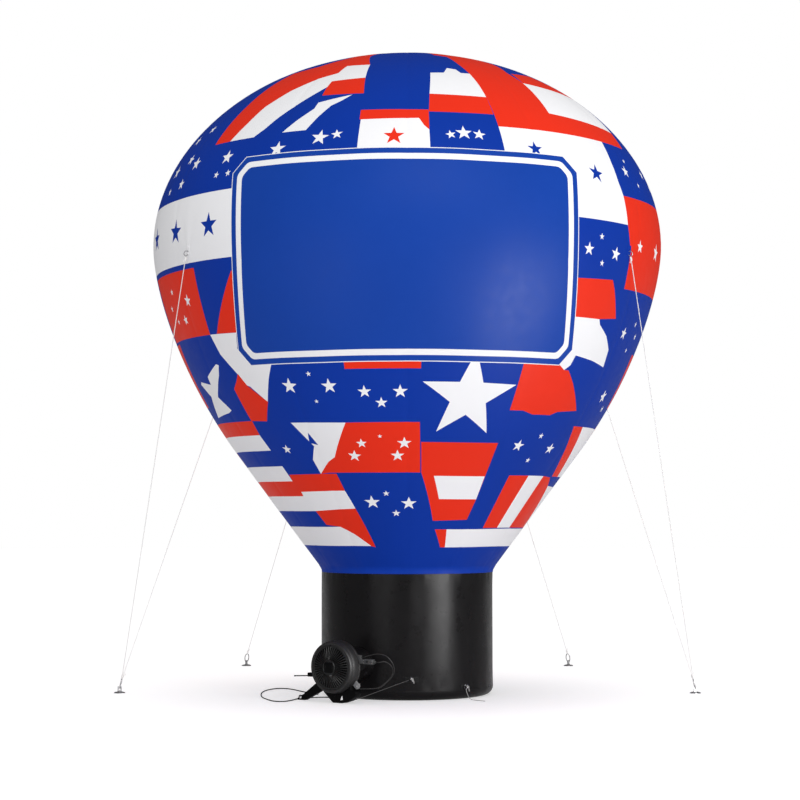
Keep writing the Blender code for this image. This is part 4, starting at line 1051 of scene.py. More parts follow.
# The print's patches in the order they are laid: a colour and its outline as (azimuth, arc)
PATCHES = (
    # Stripes high on the left
    (RED, ((-18.9, 0.5), (-32.4, 0.5), (-32.4, 0.87), (-39.8, 1.08), (-51.6, 1.15), (-50.8, 1.44),
           (-50.4, 1.70), (-51.6, 2.11), (-45.7, 2.11), (-43, 1.95), (-40.7, 1.77), (-35.6, 1.58),
           (-29.2, 1.43), (-23.3, 1.36), (-22.9, 1.20), (-13.7, 1.21), (-18.9, 0.87))),
    (WHITE, ((-13.7, 1.21), (-22.9, 1.20), (-23.3, 1.36), (-29.2, 1.43), (-35.6, 1.58), (-40.7, 1.77),
             (-43, 1.95), (-45.7, 2.11), (-37.9, 2.11), (-35.5, 2.04), (-32.9, 1.93), (-28.6, 1.78),
             (-23.2, 1.60), (-23, 1.51), (-12.6, 1.49))),
    (RED, ((-12.6, 1.49), (-11.4, 1.73), (-23.1, 1.72), (-23.2, 1.60), (-23, 1.51))),
    (WHITE, ((-14.4, 1.74), (-19.5, 1.78), (-23.1, 1.81), (-23.5, 1.88), (-26.9, 1.99), (-29.8, 2.10),
             (-23.6, 2.10), (-21.4, 1.97), (-19.1, 1.86), (-16.8, 1.81))),
    # Over the banner's middle
    (RED, ((-11.1, 1.93), (5.1, 1.93), (4.9, 2.13), (3.8, 2.09), (2.7, 2.02), (-11, 2.03))),
    (WHITE, ((-10.7, 2.03), (2.7, 2.02), (3.8, 2.09), (4.9, 2.13), (4.9, 2.35), (-10.7, 2.35))),
    # High on the right
    (RED, ((14, 0.5), (43, 0.5), (43.2, 0.97), (38.8, 1.25), (39.5, 1.44), (39, 1.63), (38.5, 1.86),
           (66.7, 1.90), (65.4, 2.07), (21.3, 2.07), (21, 1.75), (20.8, 1.57), (20.4, 1.39), (19.6, 1.20),
           (19.3, 0.92), (14, 0.86))),
    (WHITE, ((7.3, 1.41), (11.7, 1.40), (13.6, 1.30), (16.5, 1.32), (17.4, 1.39), (20.4, 1.39),
             (20.8, 1.57), (21, 1.75), (5.8, 1.74))),
    (RED, ((5.8, 1.74), (21, 1.75), (21, 1.95), (5.1, 1.95))),
    (WHITE, ((39.5, 1.44), (55.4, 1.47), (67, 1.49), (68, 1.66), (66.7, 1.90), (38.5, 1.86), (39, 1.63))),
    (RED, ((40.7, 1.25), (54.6, 1.19), (61.8, 1.32), (67, 1.49), (55.4, 1.47), (39.5, 1.44))),
    (WHITE, ((21.3, 2.07), (53.7, 2.07), (53.1, 2.25), (53.1, 2.42), (53.8, 2.53), (54.2, 2.75),
             (30, 2.75), (21.5, 2.5))),
    # Left band of stars, and the patches under it
    (WHITE, ((-38, 2.53), (-84, 2.53), (-84, 3.03), (-38, 3.03))),
    (RED, ((-53.1, 3.07), (-80, 3.07), (-81, 3.58), (-53.3, 3.58))),
    (RED, ((-40.5, 3.13), (-50.4, 3.58), (-36, 3.59), (-36, 3.13))),
    (WHITE, ((-53.3, 3.58), (-36, 3.59), (-34.9, 3.84), (-37.1, 3.95), (-40.4, 4.14), (-44.7, 4.01),
             (-46.3, 3.99), (-47.6, 3.91), (-51.8, 3.74))),
    (BLUE, ((-43.3, 3.59), (-44.5, 3.71), (-41.2, 3.82), (-34.9, 3.84), (-30, 3.84), (-30, 3.59))),
    (RED, ((-47.6, 3.90), (-45.7, 4.00), (-40.3, 4.14), (-43.9, 4.30), (-50.7, 4.29), (-51.8, 4.02),
           (-49.4, 3.96))),
    (RED, ((-76, 3.60), (-77.5, 3.85), (-79, 4.14), (-84, 4.14), (-84, 3.60))),
    (WHITE, ((-55.5, 3.81), (-54.4, 3.82), (-56.3, 3.90), (-62.6, 4.07), (-58.3, 4.19), (-60.8, 4.21),
             (-72.5, 4.24), (-67.6, 4.06), (-71.5, 3.95), (-70.2, 3.93), (-63.4, 3.965), (-63.1, 3.90))),
    # Right of the banner
    (RED, ((53.8, 2.53), (84, 2.52), (84, 3.22), (56.1, 3.22), (55.9, 3.0), (54.2, 2.75))),
    (RED, ((36, 3.19), (50.6, 3.17), (52.1, 3.24), (55.9, 3.45), (48.8, 3.47), (36, 3.47))),
    (WHITE, ((36, 3.47), (49.2, 3.47), (50, 3.51), (54.2, 3.59), (57.5, 3.69), (58.4, 3.83), (51.9, 3.79),
             (44.7, 3.76), (44, 3.84), (42.4, 3.88), (40, 3.84), (36, 3.84))),
    (RED, ((29.3, 3.80), (38, 3.80), (42.4, 3.88), (44, 3.88), (47.6, 3.98), (54.8, 4.20), (46.2, 4.22),
           (43.8, 4.25), (37, 4.25), (33.3, 4.22), (28.9, 4.22))),
    (RED, ((78, 3.68), (84, 3.68), (84, 4.14), (81, 4.14))),
    # Under the banner
    (RED, ((-15.3, 3.70), (3.3, 3.70), (3.3, 3.90), (-15.3, 3.90))),
    (WHITE, ((-35.1, 4.32), (-17.6, 4.33), (-24.1, 4.63), (-26.9, 4.67), (-31.8, 4.78), (-32.6, 4.65),
             (-30.1, 4.53))),
    (BLUE, ((-30.5, 4.41), (-28.4, 4.52), (-31.3, 4.50))),
    (RED, ((-17.6, 4.33), (3.5, 4.33), (4.4, 4.77), (-28.1, 4.77), (-31.8, 4.78), (-26.9, 4.67),
           (-24.1, 4.63))),
    (RED, ((4.2, 4.50), (28.7, 4.50), (28.3, 5.01), (27.4, 5.20), (11.4, 5.21), (4.8, 4.77))),
    (WHITE, ((9.3, 4.80), (28.3, 4.80), (28.3, 5.01), (12.5, 5.01))),
    # Stripes low on the left
    (RED, ((-84, 4.29), (-50.4, 4.29), (-50.3, 4.415), (-84, 4.415))),
    (WHITE, ((-84, 4.415), (-50.3, 4.415), (-49, 4.555), (-84, 4.555))),
    (WHITE, ((-84, 4.70), (-47.8, 4.70), (-46.9, 4.84), (-84, 4.84))),
    (RED, ((-84, 4.84), (-46.9, 4.84), (-46.8, 4.78), (-25.5, 4.78), (-24.4, 4.935), (-45.4, 4.94),
           (-45.5, 4.98), (-84, 4.98))),
    (WHITE, ((-84, 4.98), (-45.5, 4.98), (-45.4, 4.94), (-24.4, 4.935), (-22.2, 5.10), (-43.1, 5.12),
             (-84, 5.12))),
    (RED, ((-43.1, 5.12), (-22.2, 5.10), (-17.1, 5.46), (-19.8, 5.45), (-26.8, 5.34), (-33.2, 5.27),
           (-40.9, 5.25))),
    (WHITE, ((-84, 5.27), (-33.2, 5.27), (-26.8, 5.34), (-19.5, 5.45), (-84, 5.45))),
    # Stripes low on the right
    (RED, ((58.1, 4.33), (64.6, 4.33), (74, 4.79), (66.6, 4.79))),
    (WHITE, ((64.6, 4.33), (84, 4.33), (84, 4.79), (74, 4.79))),
    (RED, ((38.9, 4.79), (49.1, 4.79), (48.2, 5.28), (38.4, 5.28))),
    (WHITE, ((49.1, 4.79), (58.9, 4.79), (58.8, 5.28), (48.2, 5.28))),
    (RED, ((58.9, 4.79), (65.4, 4.80), (69.5, 4.88), (82.6, 5.28), (58.8, 5.28))),
    (WHITE, ((69.5, 4.88), (84, 4.89), (84, 5.28), (82.6, 5.28))),
    (RED, ((13, 5.29), (18.8, 5.29), (20.4, 5.46), (17.7, 5.46))),
    (WHITE, ((18.8, 5.29), (84, 5.29), (84, 5.46), (20.4, 5.46))),
)

# The print's stars: colour, azimuth, arc, radius in metres, tilt in degrees
STARS = (
    (RED, -2.9, 2.19, 0.080, 0), (BLUE, -46.2, 2.78, 0.098, 0), (BLUE, -59.7, 2.78, 0.098, 4),
    (BLUE, -73.5, 2.78, 0.098, 0),
    (WHITE, -19.6, 2.18, 0.070, 6), (WHITE, -15.7, 2.16, 0.045, -8), (WHITE, -29.6, 2.25, 0.070, 0),
    (WHITE, -44.0, 2.26, 0.062, 0), (WHITE, -45.9, 2.40, 0.030, 10), (WHITE, -42.1, 2.40, 0.030, -10),
    (WHITE, -56.6, 2.25, 0.060, 0), (WHITE, -61.2, 2.19, 0.050, 14), (WHITE, -68.3, 2.26, 0.060, 0),
    (WHITE, -61.0, 2.40, 0.048, 0), (WHITE, -67.9, 2.43, 0.034, 0), (WHITE, -59.9, 1.90, 0.045, 0),
    (WHITE, -66.0, 1.98, 0.050, 10),
    (WHITE, 12.6, 2.15, 0.064, 0), (WHITE, 9.6, 2.17, 0.040, -12), (WHITE, 16.1, 2.16, 0.050, 10),
    (BLUE, 29.1, 2.25, 0.066, 0), (BLUE, 45.3, 2.39, 0.078, 10),
    (WHITE, 58.6, 2.31, 0.052, 8), (WHITE, 60.6, 2.21, 0.020, 0), (WHITE, 63.8, 2.40, 0.022, 0),
    (WHITE, 71.1, 2.27, 0.045, 0), (WHITE, 76.0, 2.36, 0.040, 12),
    (WHITE, 60.4, 2.89, 0.052, 0), (WHITE, 71.9, 2.89, 0.075, 6),
    (WHITE, 41.2, 2.97, 0.052, 0), (WHITE, 50.1, 2.98, 0.056, 8), (WHITE, 44.8, 2.87, 0.026, 0),
    (WHITE, 45.7, 3.06, 0.025, 0),
    (WHITE, 62.8, 3.55, 0.052, 6), (WHITE, 69.0, 3.46, 0.024, 0), (WHITE, 72.5, 3.55, 0.028, 0),
    (WHITE, 69.0, 3.67, 0.022, 0), (WHITE, 67.5, 4.06, 0.060, -14), (WHITE, 73.0, 4.16, 0.032, 0),
    (WHITE, -67.0, 3.21, 0.028, 0), (WHITE, -59.1, 3.30, 0.052, 8), (WHITE, -70.4, 3.33, 0.028, 0),
    (WHITE, -68.2, 3.44, 0.024, 0), (WHITE, -63.1, 3.44, 0.042, -8),
    (WHITE, -31.4, 4.02, 0.066, 6), (WHITE, -25.0, 3.93, 0.022, 0), (WHITE, -20.1, 4.03, 0.062, 0),
    (WHITE, -24.6, 4.15, 0.018, 0), (WHITE, -11.0, 4.08, 0.052, 0), (WHITE, -1.8, 4.08, 0.056, 0),
    (WHITE, -6.8, 4.17, 0.046, 0), (WHITE, 16.2, 4.12, 0.362, 1),
    (WHITE, -41.3, 4.55, 0.042, 10),
    (WHITE, -14.0, 4.51, 0.042, 0), (WHITE, -8.1, 4.45, 0.018, 0), (WHITE, -0.9, 4.51, 0.054, 0),
    (WHITE, -17.1, 4.62, 0.052, 8), (WHITE, -3.1, 4.62, 0.052, 0),
    (WHITE, -14.2, 5.04, 0.062, 0), (WHITE, -8.1, 4.96, 0.026, 0), (WHITE, 0.6, 5.05, 0.060, 0),
    (WHITE, -4.7, 5.14, 0.033, 0),
    (WHITE, 36.7, 4.52, 0.053, 6), (WHITE, 44.3, 4.43, 0.026, 0), (WHITE, 52.0, 4.54, 0.050, 0),
    (WHITE, 44.1, 4.65, 0.025, 0),
)

# The side away from the photograph, in the same style: each row's arcs and its patches
BACK_ROWS = (
    (0.50, 1.49, ("red", "white", "stars", "red", "white", "blue")),
    (1.49, 2.11, ("stripes", "stars", "red", "white", "bars", "stars")),
    (2.11, 2.53, ("blue", "stars", "stars", "blue", "stars", "blue")),
    (2.53, 3.05, ("red", "star", "white", "bars", "white", "white")),
    (3.05, 3.58, ("stars", "red", "stripes", "stars", "red", "stars")),
    (3.58, 4.30, ("white", "stars", "bars", "star", "stripes", "blue")),
    (4.30, 4.80, ("bars", "red", "stars", "red", "white", "stripes")),
    (4.80, 5.27, ("white", "stars", "stripes", "bars", "red", "stars")),
    (5.29, 5.45, ("pale", "pale", "blank", "pale", "pale", "pale")),
)
BACK_START = 84.0
BACK_SLANT = 6.0


def star(azimuth, arc, radius, tilt):
    """The outline of a five-pointed star on the fabric."""
    outline = []
    girth = float(radius_at(arc))
    for k in range(10):
        reach = radius * (0.40 if k % 2 else 1.0)
        angle = radians(36.0 * k + tilt)
        outline.append((azimuth + degrees(reach * sin(angle) / girth), arc - reach * cos(angle)))
    return outline


# The kinds of cell on the unseen side: ground, then its stars as a colour, a place across and
# down, the radius, its most as a share of the height, and the tilt
CELLS = {
    "blank": (None, ()),
    "pale": (WHITE, ()),
    "blue": (None, ((WHITE, 0.0, 0.0, 0.16, 0.30, 0),)),
    "stars": (None, tuple((WHITE, u, v, 0.070, 0.14, 40 * u)
                          for u, v in ((-0.24, 0.05), (0.24, 0.0), (0.0, -0.22), (0.02, 0.26)))),
    "star": (None, ((WHITE, 0.0, 0.0, 0.26, 0.45, 0),)),
    "red": (RED, tuple((WHITE, u, v, 0.055, 1.0, 30 * u)
                       for u, v in ((-0.22, -0.15), (0.20, -0.18), (-0.02, 0.22)))),
    "white": (WHITE, ((BLUE, 0.0, 0.0, 0.15, 0.28, 0),)),
}


def back_cell(kind, left, right, top, low):
    """The patches and stars of one cell of the print on the unseen side."""
    width, height = right - left, low - top

    def patch(u0, u1, v0, v1):
        return [(left + BACK_SLANT * v + width * u, top + height * v)
                for u, v in ((u0, v0), (u1, v0), (u1, v1), (u0, v1))]

    if kind in CELLS:
        ground, stars = CELLS[kind]
        middle, level = (left + right) / 2 + BACK_SLANT / 2, (top + low) / 2
        return ([] if ground is None else [(ground, patch(0, 1, 0, 1))],
                [(ink, middle + width * u, level + height * v, min(radius, height * most), tilt)
                 for ink, u, v, radius, most, tilt in stars])
    patches = []
    for k in range(4):
        a, b = k / 4, (k + 1) / 4
        outline = patch(0, 1, a, b) if kind == "stripes" else patch(a, b, 0, 1)
        patches.append((WHITE if k % 2 else RED, outline))
    return patches, []


def whole_print():
    """Every outline of the print in the order they are laid, with azimuths from -180 to 180."""
    outlines = []
    stars = []
    width = (360.0 - 2 * BACK_START) / len(BACK_ROWS[0][2])
    for top, low, kinds in BACK_ROWS:
        for k, kind in enumerate(kinds):
            left = BACK_START + width * k
            patches, more = back_cell(kind, left, left + width, top, low)
            outlines += patches
            stars += more
    laid = []
    for ink, outline in outlines:
        outline = [(min(azimuth, 360.0 - BACK_START), arc) for azimuth, arc in outline]
        laid += [(ink, outline), (ink, [(azimuth - 360.0, arc) for azimuth, arc in outline])]
    laid += PATCHES
    for ink, azimuth, arc, radius, tilt in (*stars, *STARS):
        outline = star(azimuth, arc, radius, tilt)
        laid.append((ink, outline))
        if azimuth > 90.0:
            laid.append((ink, [(a - 360.0, v) for a, v in outline]))
    return laid


def flat(azimuth):
    """An azimuth as a distance across the flattened print."""
    return radians(azimuth) * FLAT_GIRTH


def inside(outline, x, y):
    """Which of many places lie within an outline."""
    found = np.zeros(len(x), bool)
    for (x0, y0), (x1, y1) in zip(outline, outline[1:] + outline[:1]):
        if y0 != y1:
            found ^= ((y0 > y) != (y1 > y)) & (x < x0 + (y - y0) * (x1 - x0) / (y1 - y0))
    return found


def inked(outlines, x, y):
    """The colour at each place, from the last outline that holds it."""
    colour = np.full(len(x), 0)
    for ink, outline in outlines:
        colour[inside(outline, x, y)] = ink
    return colour


def flat_mesh(points, loops, lines=()):
    """Triangles through flat points, with loops and lines kept as edges."""
    verts = [Vector(p) for p in points]
    edges = []
    for line, closed in [(loop, True) for loop in loops] + [(line, False) for line in lines]:
        start = len(verts)
        verts += [Vector(p) for p in line]
        count = len(line) if closed else len(line) - 1
        edges += [(start + k, start + (k + 1) % len(line)) for k in range(count)]
    verts, _, faces, *_ = delaunay_2d_cdt(verts, edges, [], 0, 1e-5, False)
    return np.array([tuple(v) for v in verts]), np.array([f[:3] for f in faces])


def clear_of(points, loops, distance):
    """The points that lie at least a distance from every loop's points."""
    marks = [p for loop in loops for p in loop]
    tree = kdtree.KDTree(len(marks))
    for k, (u, v) in enumerate(marks):
        tree.insert((u, v, 0.0), k)
    tree.balance()
    return [p for p in points if tree.find((p[0], p[1], 0.0))[2] > distance]


def fabric_grid(step):
    """Flat points over the whole envelope, closer at the seams, the tabs and the neck."""
    points = []
    rows = np.append(np.arange(CAP_ARC, BASE_ARC - 0.02, step), [BASE_ARC - 0.018, BASE_ARC])
    for arc in rows:
        radius = float(radius_at(arc))
        share = step if arc < BASE_ARC - 0.30 else step * 0.32
        count = max(4, round(2 * pi * radius / share / GORES))
        beside = degrees(0.011 / radius)
        for gore in range(GORES):
            first = -180.0 + gore * GORE_WIDTH
            places = [first + GORE_WIDTH * k / count for k in range(1, count)]
            places += [first + beside, first + GORE_WIDTH - beside]
            points += [(flat(a), arc) for a in places]
    for place in STAYS:
        for k in range(1, 13):
            for j in range(6 * k):
                angle = 2 * pi * j / (6 * k)
                u = flat(place) + 0.020 * k * sin(angle) * FLAT_GIRTH / BULGE_RADIUS
                points.append((u, STAY_ARC - 0.05 + 0.024 * k * cos(angle)))
    return points, rows


class OBJECT_OT_balloon_envelope(bpy.types.Operator):
    """Sew the printed gores of the envelope and its crown cap"""
    bl_idname = "balloon.envelope"
    bl_label = "Envelope"

    def execute(self, context):
        step = context.scene.balloon_envelope.grid
        outlines = whole_print()
        loops = [split([(flat(a), v) for a, v in outline], step) for _, outline in outlines]
        loops = [loop for loop in loops if max(u for u, _ in loop) > -pi * FLAT_GIRTH
                 and min(u for u, _ in loop) < pi * FLAT_GIRTH]
        points, rows = fabric_grid(step)
        seams = [[(flat(-180.0 + GORE_WIDTH * k), arc) for arc in rows] for k in range(GORES + 1)]
        verts, faces = flat_mesh(clear_of(points, loops, step * 0.22), loops, seams)
        azimuth, arc = np.degrees(verts[:, 0] / FLAT_GIRTH), verts[:, 1]
        middle, level = azimuth[faces].mean(axis=1), arc[faces].mean(axis=1)
        colour = inked(outlines, middle, level)
        looks = print_looks()
        places, normals = skin(azimuth, arc), skin_normals(azimuth, arc)
        gore_of = (np.floor(middle % 360.0 / GORE_WIDTH)).astype(int)
        for gore in range(GORES):
            mine = (np.abs(middle) < 180.0) & (gore_of == gore)
            used, corners = np.unique(faces[mine], return_inverse=True)
            self.add_gore(f"gore_{gore + 1:02d}", places[used], normals[used], corners.reshape(-1, 3),
                          colour[mine], looks)
        self.add_cap(looks)
        return {"FINISHED"}

    def add_gore(self, node, places, normals, corners, colour, looks):
        mesh = bpy.data.meshes.new(f"envelope_{node}")
        mesh.from_pydata(places.tolist(), [], corners.tolist())
        mesh.polygons.foreach_set("material_index", colour.astype(np.int32))
        mesh.shade_smooth()
        for look in looks:
            mesh.materials.append(look)
        facing = np.zeros(len(mesh.polygons) * 3)
        mesh.polygons.foreach_get("normal", facing)
        if (facing.reshape(-1, 3) * normals[corners[:, 0]]).sum() < 0.0:
            mesh.flip_normals()
        mesh.normals_split_custom_set_from_vertices(normals.tolist())
        settle(new_item(f"envelope_{node}", mesh), [node])

    def add_cap(self, looks):
        """The round crown cap with its doubled rim."""
        rings, segments = 8, 96
        turns = [360.0 * k / segments for k in range(segments)]
        verts = [Vector((0.0, 0.0, BULGE_HEIGHT + CROWN_RISE))]
        for k in range(1, rings + 1):
            verts += [Vector(p) for p in skin(turns, [CAP_ARC * k / rings] * segments)]
        faces = [(0, 1 + k, 1 + (k + 1) % segments) for k in range(segments)]
        faces += [tuple(1 + k for k in face) for face in joined(rings, segments)]
        cap = Solid().add((verts, faces))
        cap.add(swept([skin_point(turn, CAP_ARC, 0.0004) for turn in turns], 0.0022, 6, closed=True))
        add_piece("envelope_crown_cap", cap, looks[:1], ["crown_cap"])


# Banner

BANNER_STEP = 0.050
BANNER_HEM = 0.006
BANNER_FLOAT = 0.0046
BANNER_UNDER = 0.0010
LINE_CORNER = 0.030

# The arc of the seam that crosses the panel
BANNER_SEAM = 3.07


def cut_corner_outline(given, inset):
    """(x, down) corners of the panel with its cut corners, set in from its edge."""
    half, reach = given.width / 2 - inset, given.height / 2 - inset
    cut = given.corner - inset * (2 - sqrt(2))
    return [(-half + cut, -reach), (half - cut, -reach), (half, -reach + cut), (half, reach - cut),
            (half - cut, reach), (-half + cut, reach), (-half, reach - cut), (-half, -reach + cut)]


def rim_of(faces):
    """The edges that only one face has, in order."""
    sides = {}
    for a, b, c in faces:
        for pair in ((a, b), (b, c), (c, a)):
            if pair[::-1] in sides:
                del sides[pair[::-1]]
            else:
                sides[pair] = True
    return list(sides)


class OBJECT_OT_balloon_banner(bpy.types.Operator):
    """Lay the plain message panel with its white frame line on the front"""
    bl_idname = "balloon.banner"
    bl_label = "Banner"

    def execute(self, context):
        given = context.scene.balloon_banner
        flat_verts, faces, colour = self.flat_panel(given)
        x, y = flat_verts.T
        arc = given.top_arc + given.height / 2 + y
        azimuth = degrees(given.azimuth) + np.degrees(x / radius_at(arc))
        wave = 0.0012 * (np.sin(x * 5.1 + 1.0) * np.sin(y * 6.3) + np.sin(x * 11.0 + y * 3.0))
        seam = 0.0016 * np.exp(-((arc - BANNER_SEAM) / 0.012) ** 2)
        outer, inner = skin(azimuth, arc, BANNER_FLOAT + wave - seam), skin(azimuth, arc, BANNER_UNDER)
        count, faces = len(flat_verts), faces.tolist()
        banner = Solid()
        banner.verts = [Vector(p) for p in np.concatenate([outer, inner])]
        banner.faces = [tuple(f) for f in faces] + [tuple(k + count for k in f[::-1]) for f in faces]
        banner.looks = colour.tolist() + [0] * len(faces)
        for a, b in rim_of(faces):
            banner.faces.append((a, a + count, b + count, b))
            banner.looks.append(1)
        piece = add_piece("banner_sheet", banner, banner_looks(), ["banner_panel"],
                          sharp=50.0)
        return {"FINISHED"}

    def flat_panel(self, given):
        """Points and triangles of the flat panel, and the look of each triangle."""
        edge = cut_corner_outline(given, 0.0)
        frame_line = [corner_rounded(cut_corner_outline(given, inset), LINE_CORNER, 5)
                      for inset in (given.border, given.border + given.line)]
        outlines = list(zip((1, 0, 1, 0), (edge, cut_corner_outline(given, BANNER_HEM), *frame_line)))
        loops = [split(outline, BANNER_STEP) for _, outline in outlines]
        rows, columns = (np.arange(-side / 2 + BANNER_STEP, side / 2, BANNER_STEP).tolist()
                         for side in (given.height, given.width))
        grid = [(x, y) for y in rows for x in columns]
        grid = [p for p, kept in zip(grid, inside(edge, *np.array(grid).T)) if kept]
        verts, faces = flat_mesh(clear_of(grid, loops, BANNER_STEP * 0.4), loops)
        faces = faces[inside(edge, *verts[faces].mean(axis=1).T)]
        return verts, faces, inked(outlines, *verts[faces].mean(axis=1).T)


# Base

WALL_THICKNESS = 0.004
PAN_CORNER = 0.068
PAN_SEGMENTS = 144

# Soft folds of the base wall: azimuth, half width in degrees, height as a share of the fold depth
WALL_FOLDS = ((-62, 7, 0.6), (-38, 9, -0.8), (-10, 6, 0.9), (5, 6, -0.9), (24, 8, 1.0), (46, 8, -0.9),
              (64, 6, 0.7), (88, 9, -0.7), (115, 8, 0.8), (140, 9, -0.8), (168, 8, 0.9), (198, 9, -0.7),
              (225, 8, 0.8), (254, 9, -0.8), (278, 7, 0.6))


def wall_bulge(azimuth, height):
    """How far the base wall stands off its plain cylinder."""
    depth = bpy.context.scene.balloon_base.fold
    turn = radians(azimuth)
    bulge = 0.0
    for place, width, share in WALL_FOLDS:
        off = (azimuth - place + 180.0) % 360.0 - 180.0
        wander = 3.0 * sin(height * 4.0 + place)
        bulge += share * np.exp(-((off - wander) / width) ** 2)
    ends = min(1.0, max(0.0, (height - 0.05) / 0.18)) * min(1.0, max(0.0, (BASE_TOP - height) / 0.10))
    bulge *= depth * (0.25 + 0.75 * ends)
    gather = max(0.0, (height - (BASE_TOP - 0.09)) / 0.09)
    bulge += 0.0010 * gather * (sin(turn * 41) + 0.6 * sin(turn * 67 + 1.0))
    foot = max(0.0, 1.0 - abs(height - 0.10) / 0.08)
    bulge += 0.0010 * foot * sin(turn * 33 + height * 25)
    return bulge - depth * 0.3


def on_base(azimuth, height, lift):
    """A point off the base wall's own folded cloth."""
    return round_z(azimuth, BASE_RADIUS + wall_bulge(azimuth, height) + lift, height)


class OBJECT_OT_balloon_base(bpy.types.Operator):
    """Build the base's wall panels, its floor pan and the seam tapes"""
    bl_idname = "balloon.base"
    bl_label = "Base"

    def execute(self, context):
        given = context.scene.balloon_base
        for panel in range(4):
            self.add_wall(given, panel)
        self.add_pan(given)
        return {"FINISHED"}

    def add_wall(self, given, panel):
        def place_at(u, v, side):
            azimuth = 45.0 + 90.0 * panel + 0.02 + 89.96 * u
            height = given.pan_height + GAP + (BASE_TOP - given.pan_height - 2 * GAP) * v
            return on_base(azimuth, height, -side * WALL_THICKNESS)

        wall = Solid().add(slab(60, 30, place_at))
        add_piece(f"base_wall_panel_{panel + 1}", wall, [base_look()],
                  [f"base_wall_{panel + 1}"])

    def add_pan(self, given):
        """The floor pan with its rounded foot, and the tape over its seam."""
        rings = [(given.pan_height, BASE_RADIUS)]
        for k in range(10, -1, -1):
            angle = k / 10 * pi / 2
            radius = BASE_RADIUS - PAN_CORNER + PAN_CORNER * sin(angle)
            rings.append((PAN_CORNER - PAN_CORNER * cos(angle), radius))
        rings += [(0.0, radius) for radius in (0.5, 0.35, 0.18)]
        turns = [360.0 * k / PAN_SEGMENTS for k in range(PAN_SEGMENTS)]
        bulges = [wall_bulge(turn, given.pan_height) for turn in turns]
        verts = [round_z(turn, radius + bulge * max(0.0, min(1.0, height / given.pan_height)), height)
                 for height, radius in rings for turn, bulge in zip(turns, bulges)]
        faces = joined(len(rings), PAN_SEGMENTS)
        last, middle = len(verts) - PAN_SEGMENTS, len(verts)
        faces += [(last + k, last + (k + 1) % PAN_SEGMENTS, middle) for k in range(PAN_SEGMENTS)]
        pan = Solid().add((verts + [(0.0, 0.0, 0.0)], faces))
        add_piece("base_pan", pan, [base_look()], ["base_floor"], sharp=60.0)
        line = [on_base(turn, given.pan_height, -0.0008) for turn in turns]
        tape = Solid().add(swept(line, 0.0026, 8, closed=True))
        add_piece("base_seam_welt", tape, [base_look()])


# Rigging

def ends_of(node):
    """The middles of a taut stay's lower and upper ends."""
    points = [v.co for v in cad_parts[node].data.vertices]
    middle = (max(p.z for p in points) + min(p.z for p in points)) / 2
    ends = [p for p in points if p.z <= middle], [p for p in points if p.z > middle]
    return [sum(end, Vector()) / len(end) for end in ends]


def hitch(end, along, radius):
    """Coils of rope round a stay where it is tied, with the short tail that is left."""
    turns, steps = 4, 12
    side, across = beside(along)
    points = []
    for k in range(steps * turns + 1):
        angle = 2 * pi * k / steps
        rise = radius * 2 + radius * 2.02 * k / steps
        out = radius * 2
        points.append(end + along * rise + side * (out * cos(angle)) + across * (out * sin(angle)))
    tail = points[-1] + along * (radius * 5) + side * (radius * 4)
    points += [points[-1].lerp(tail, 0.5) + side * radius, tail]
    return swept(points, radius * 0.95, 8)


class OBJECT_OT_balloon_stays(bpy.types.Operator):
    """Add the stays with their sewn tabs, rings and hitches"""
    bl_idname = "balloon.stays"
    bl_label = "Stays"

    def execute(self, context):
        given = context.scene.balloon_rigging
        for number, azimuth in enumerate(STAYS, 1):
            low, top = ends_of(f"stay_{number}")
            along = (top - low).normalized()
            self.add_rope(number, low, top, along, given.stay_radius)
            ring = top + along * (given.ring_radius + given.ring_wire + GAP)
            self.add_tab(number, azimuth, ring, along, given)
        return {"FINISHED"}

    def add_rope(self, number, low, top, along, radius):
        rope = Solid().add(swept(straight(low, top, 160), radius, 10))
        rope.add(hitch(top, -along, radius))
        rope.add(hitch(low, along, radius))
        add_piece(f"stay_rope_{number}", rope, [rope_look()], [f"stay_{number}"])

    def add_tab(self, number, azimuth, ring, along, given):
        """A patch sewn to the envelope with the lug and the ring that the stay is tied to."""
        normal = Vector(skin_normals([azimuth], [STAY_ARC])[0])
        sideways = directions(azimuth)[1]

        def place_at(u, v, side):
            edge = min(u, 1 - u, v, 1 - v) * 10
            lift = 0.0030 * min(1.0, edge + 0.35) if side == 0 else 0.0004
            across = (u - 0.5) * 0.060
            return skin_point(azimuth + degrees(across / 2.0), STAY_ARC - 0.045 + 0.075 * v, lift)

        tab = Solid().add(slab(12, 12, place_at))
        lug = rounded(box((-0.011, -0.004, -0.012), (0.011, 0.004, 0.010)), 0.002)
        tab.add(lug, 0, axes(sideways, normal.cross(sideways), normal, ring - normal * 0.021))
        across = square_to(normal, along)
        tab.add(hoop(ring, along * given.ring_radius, across * given.ring_radius, given.ring_wire), 1)
        # The tab is cut from the cloth of the patch that it is sewn to
        ink = inked(whole_print(), np.array([azimuth]), np.array([STAY_ARC]))[0]
        add_piece(f"stay_tab_sewn_{number}", tab, [print_looks()[ink], steel_look()],
                  [f"stay_tab_{number}"])


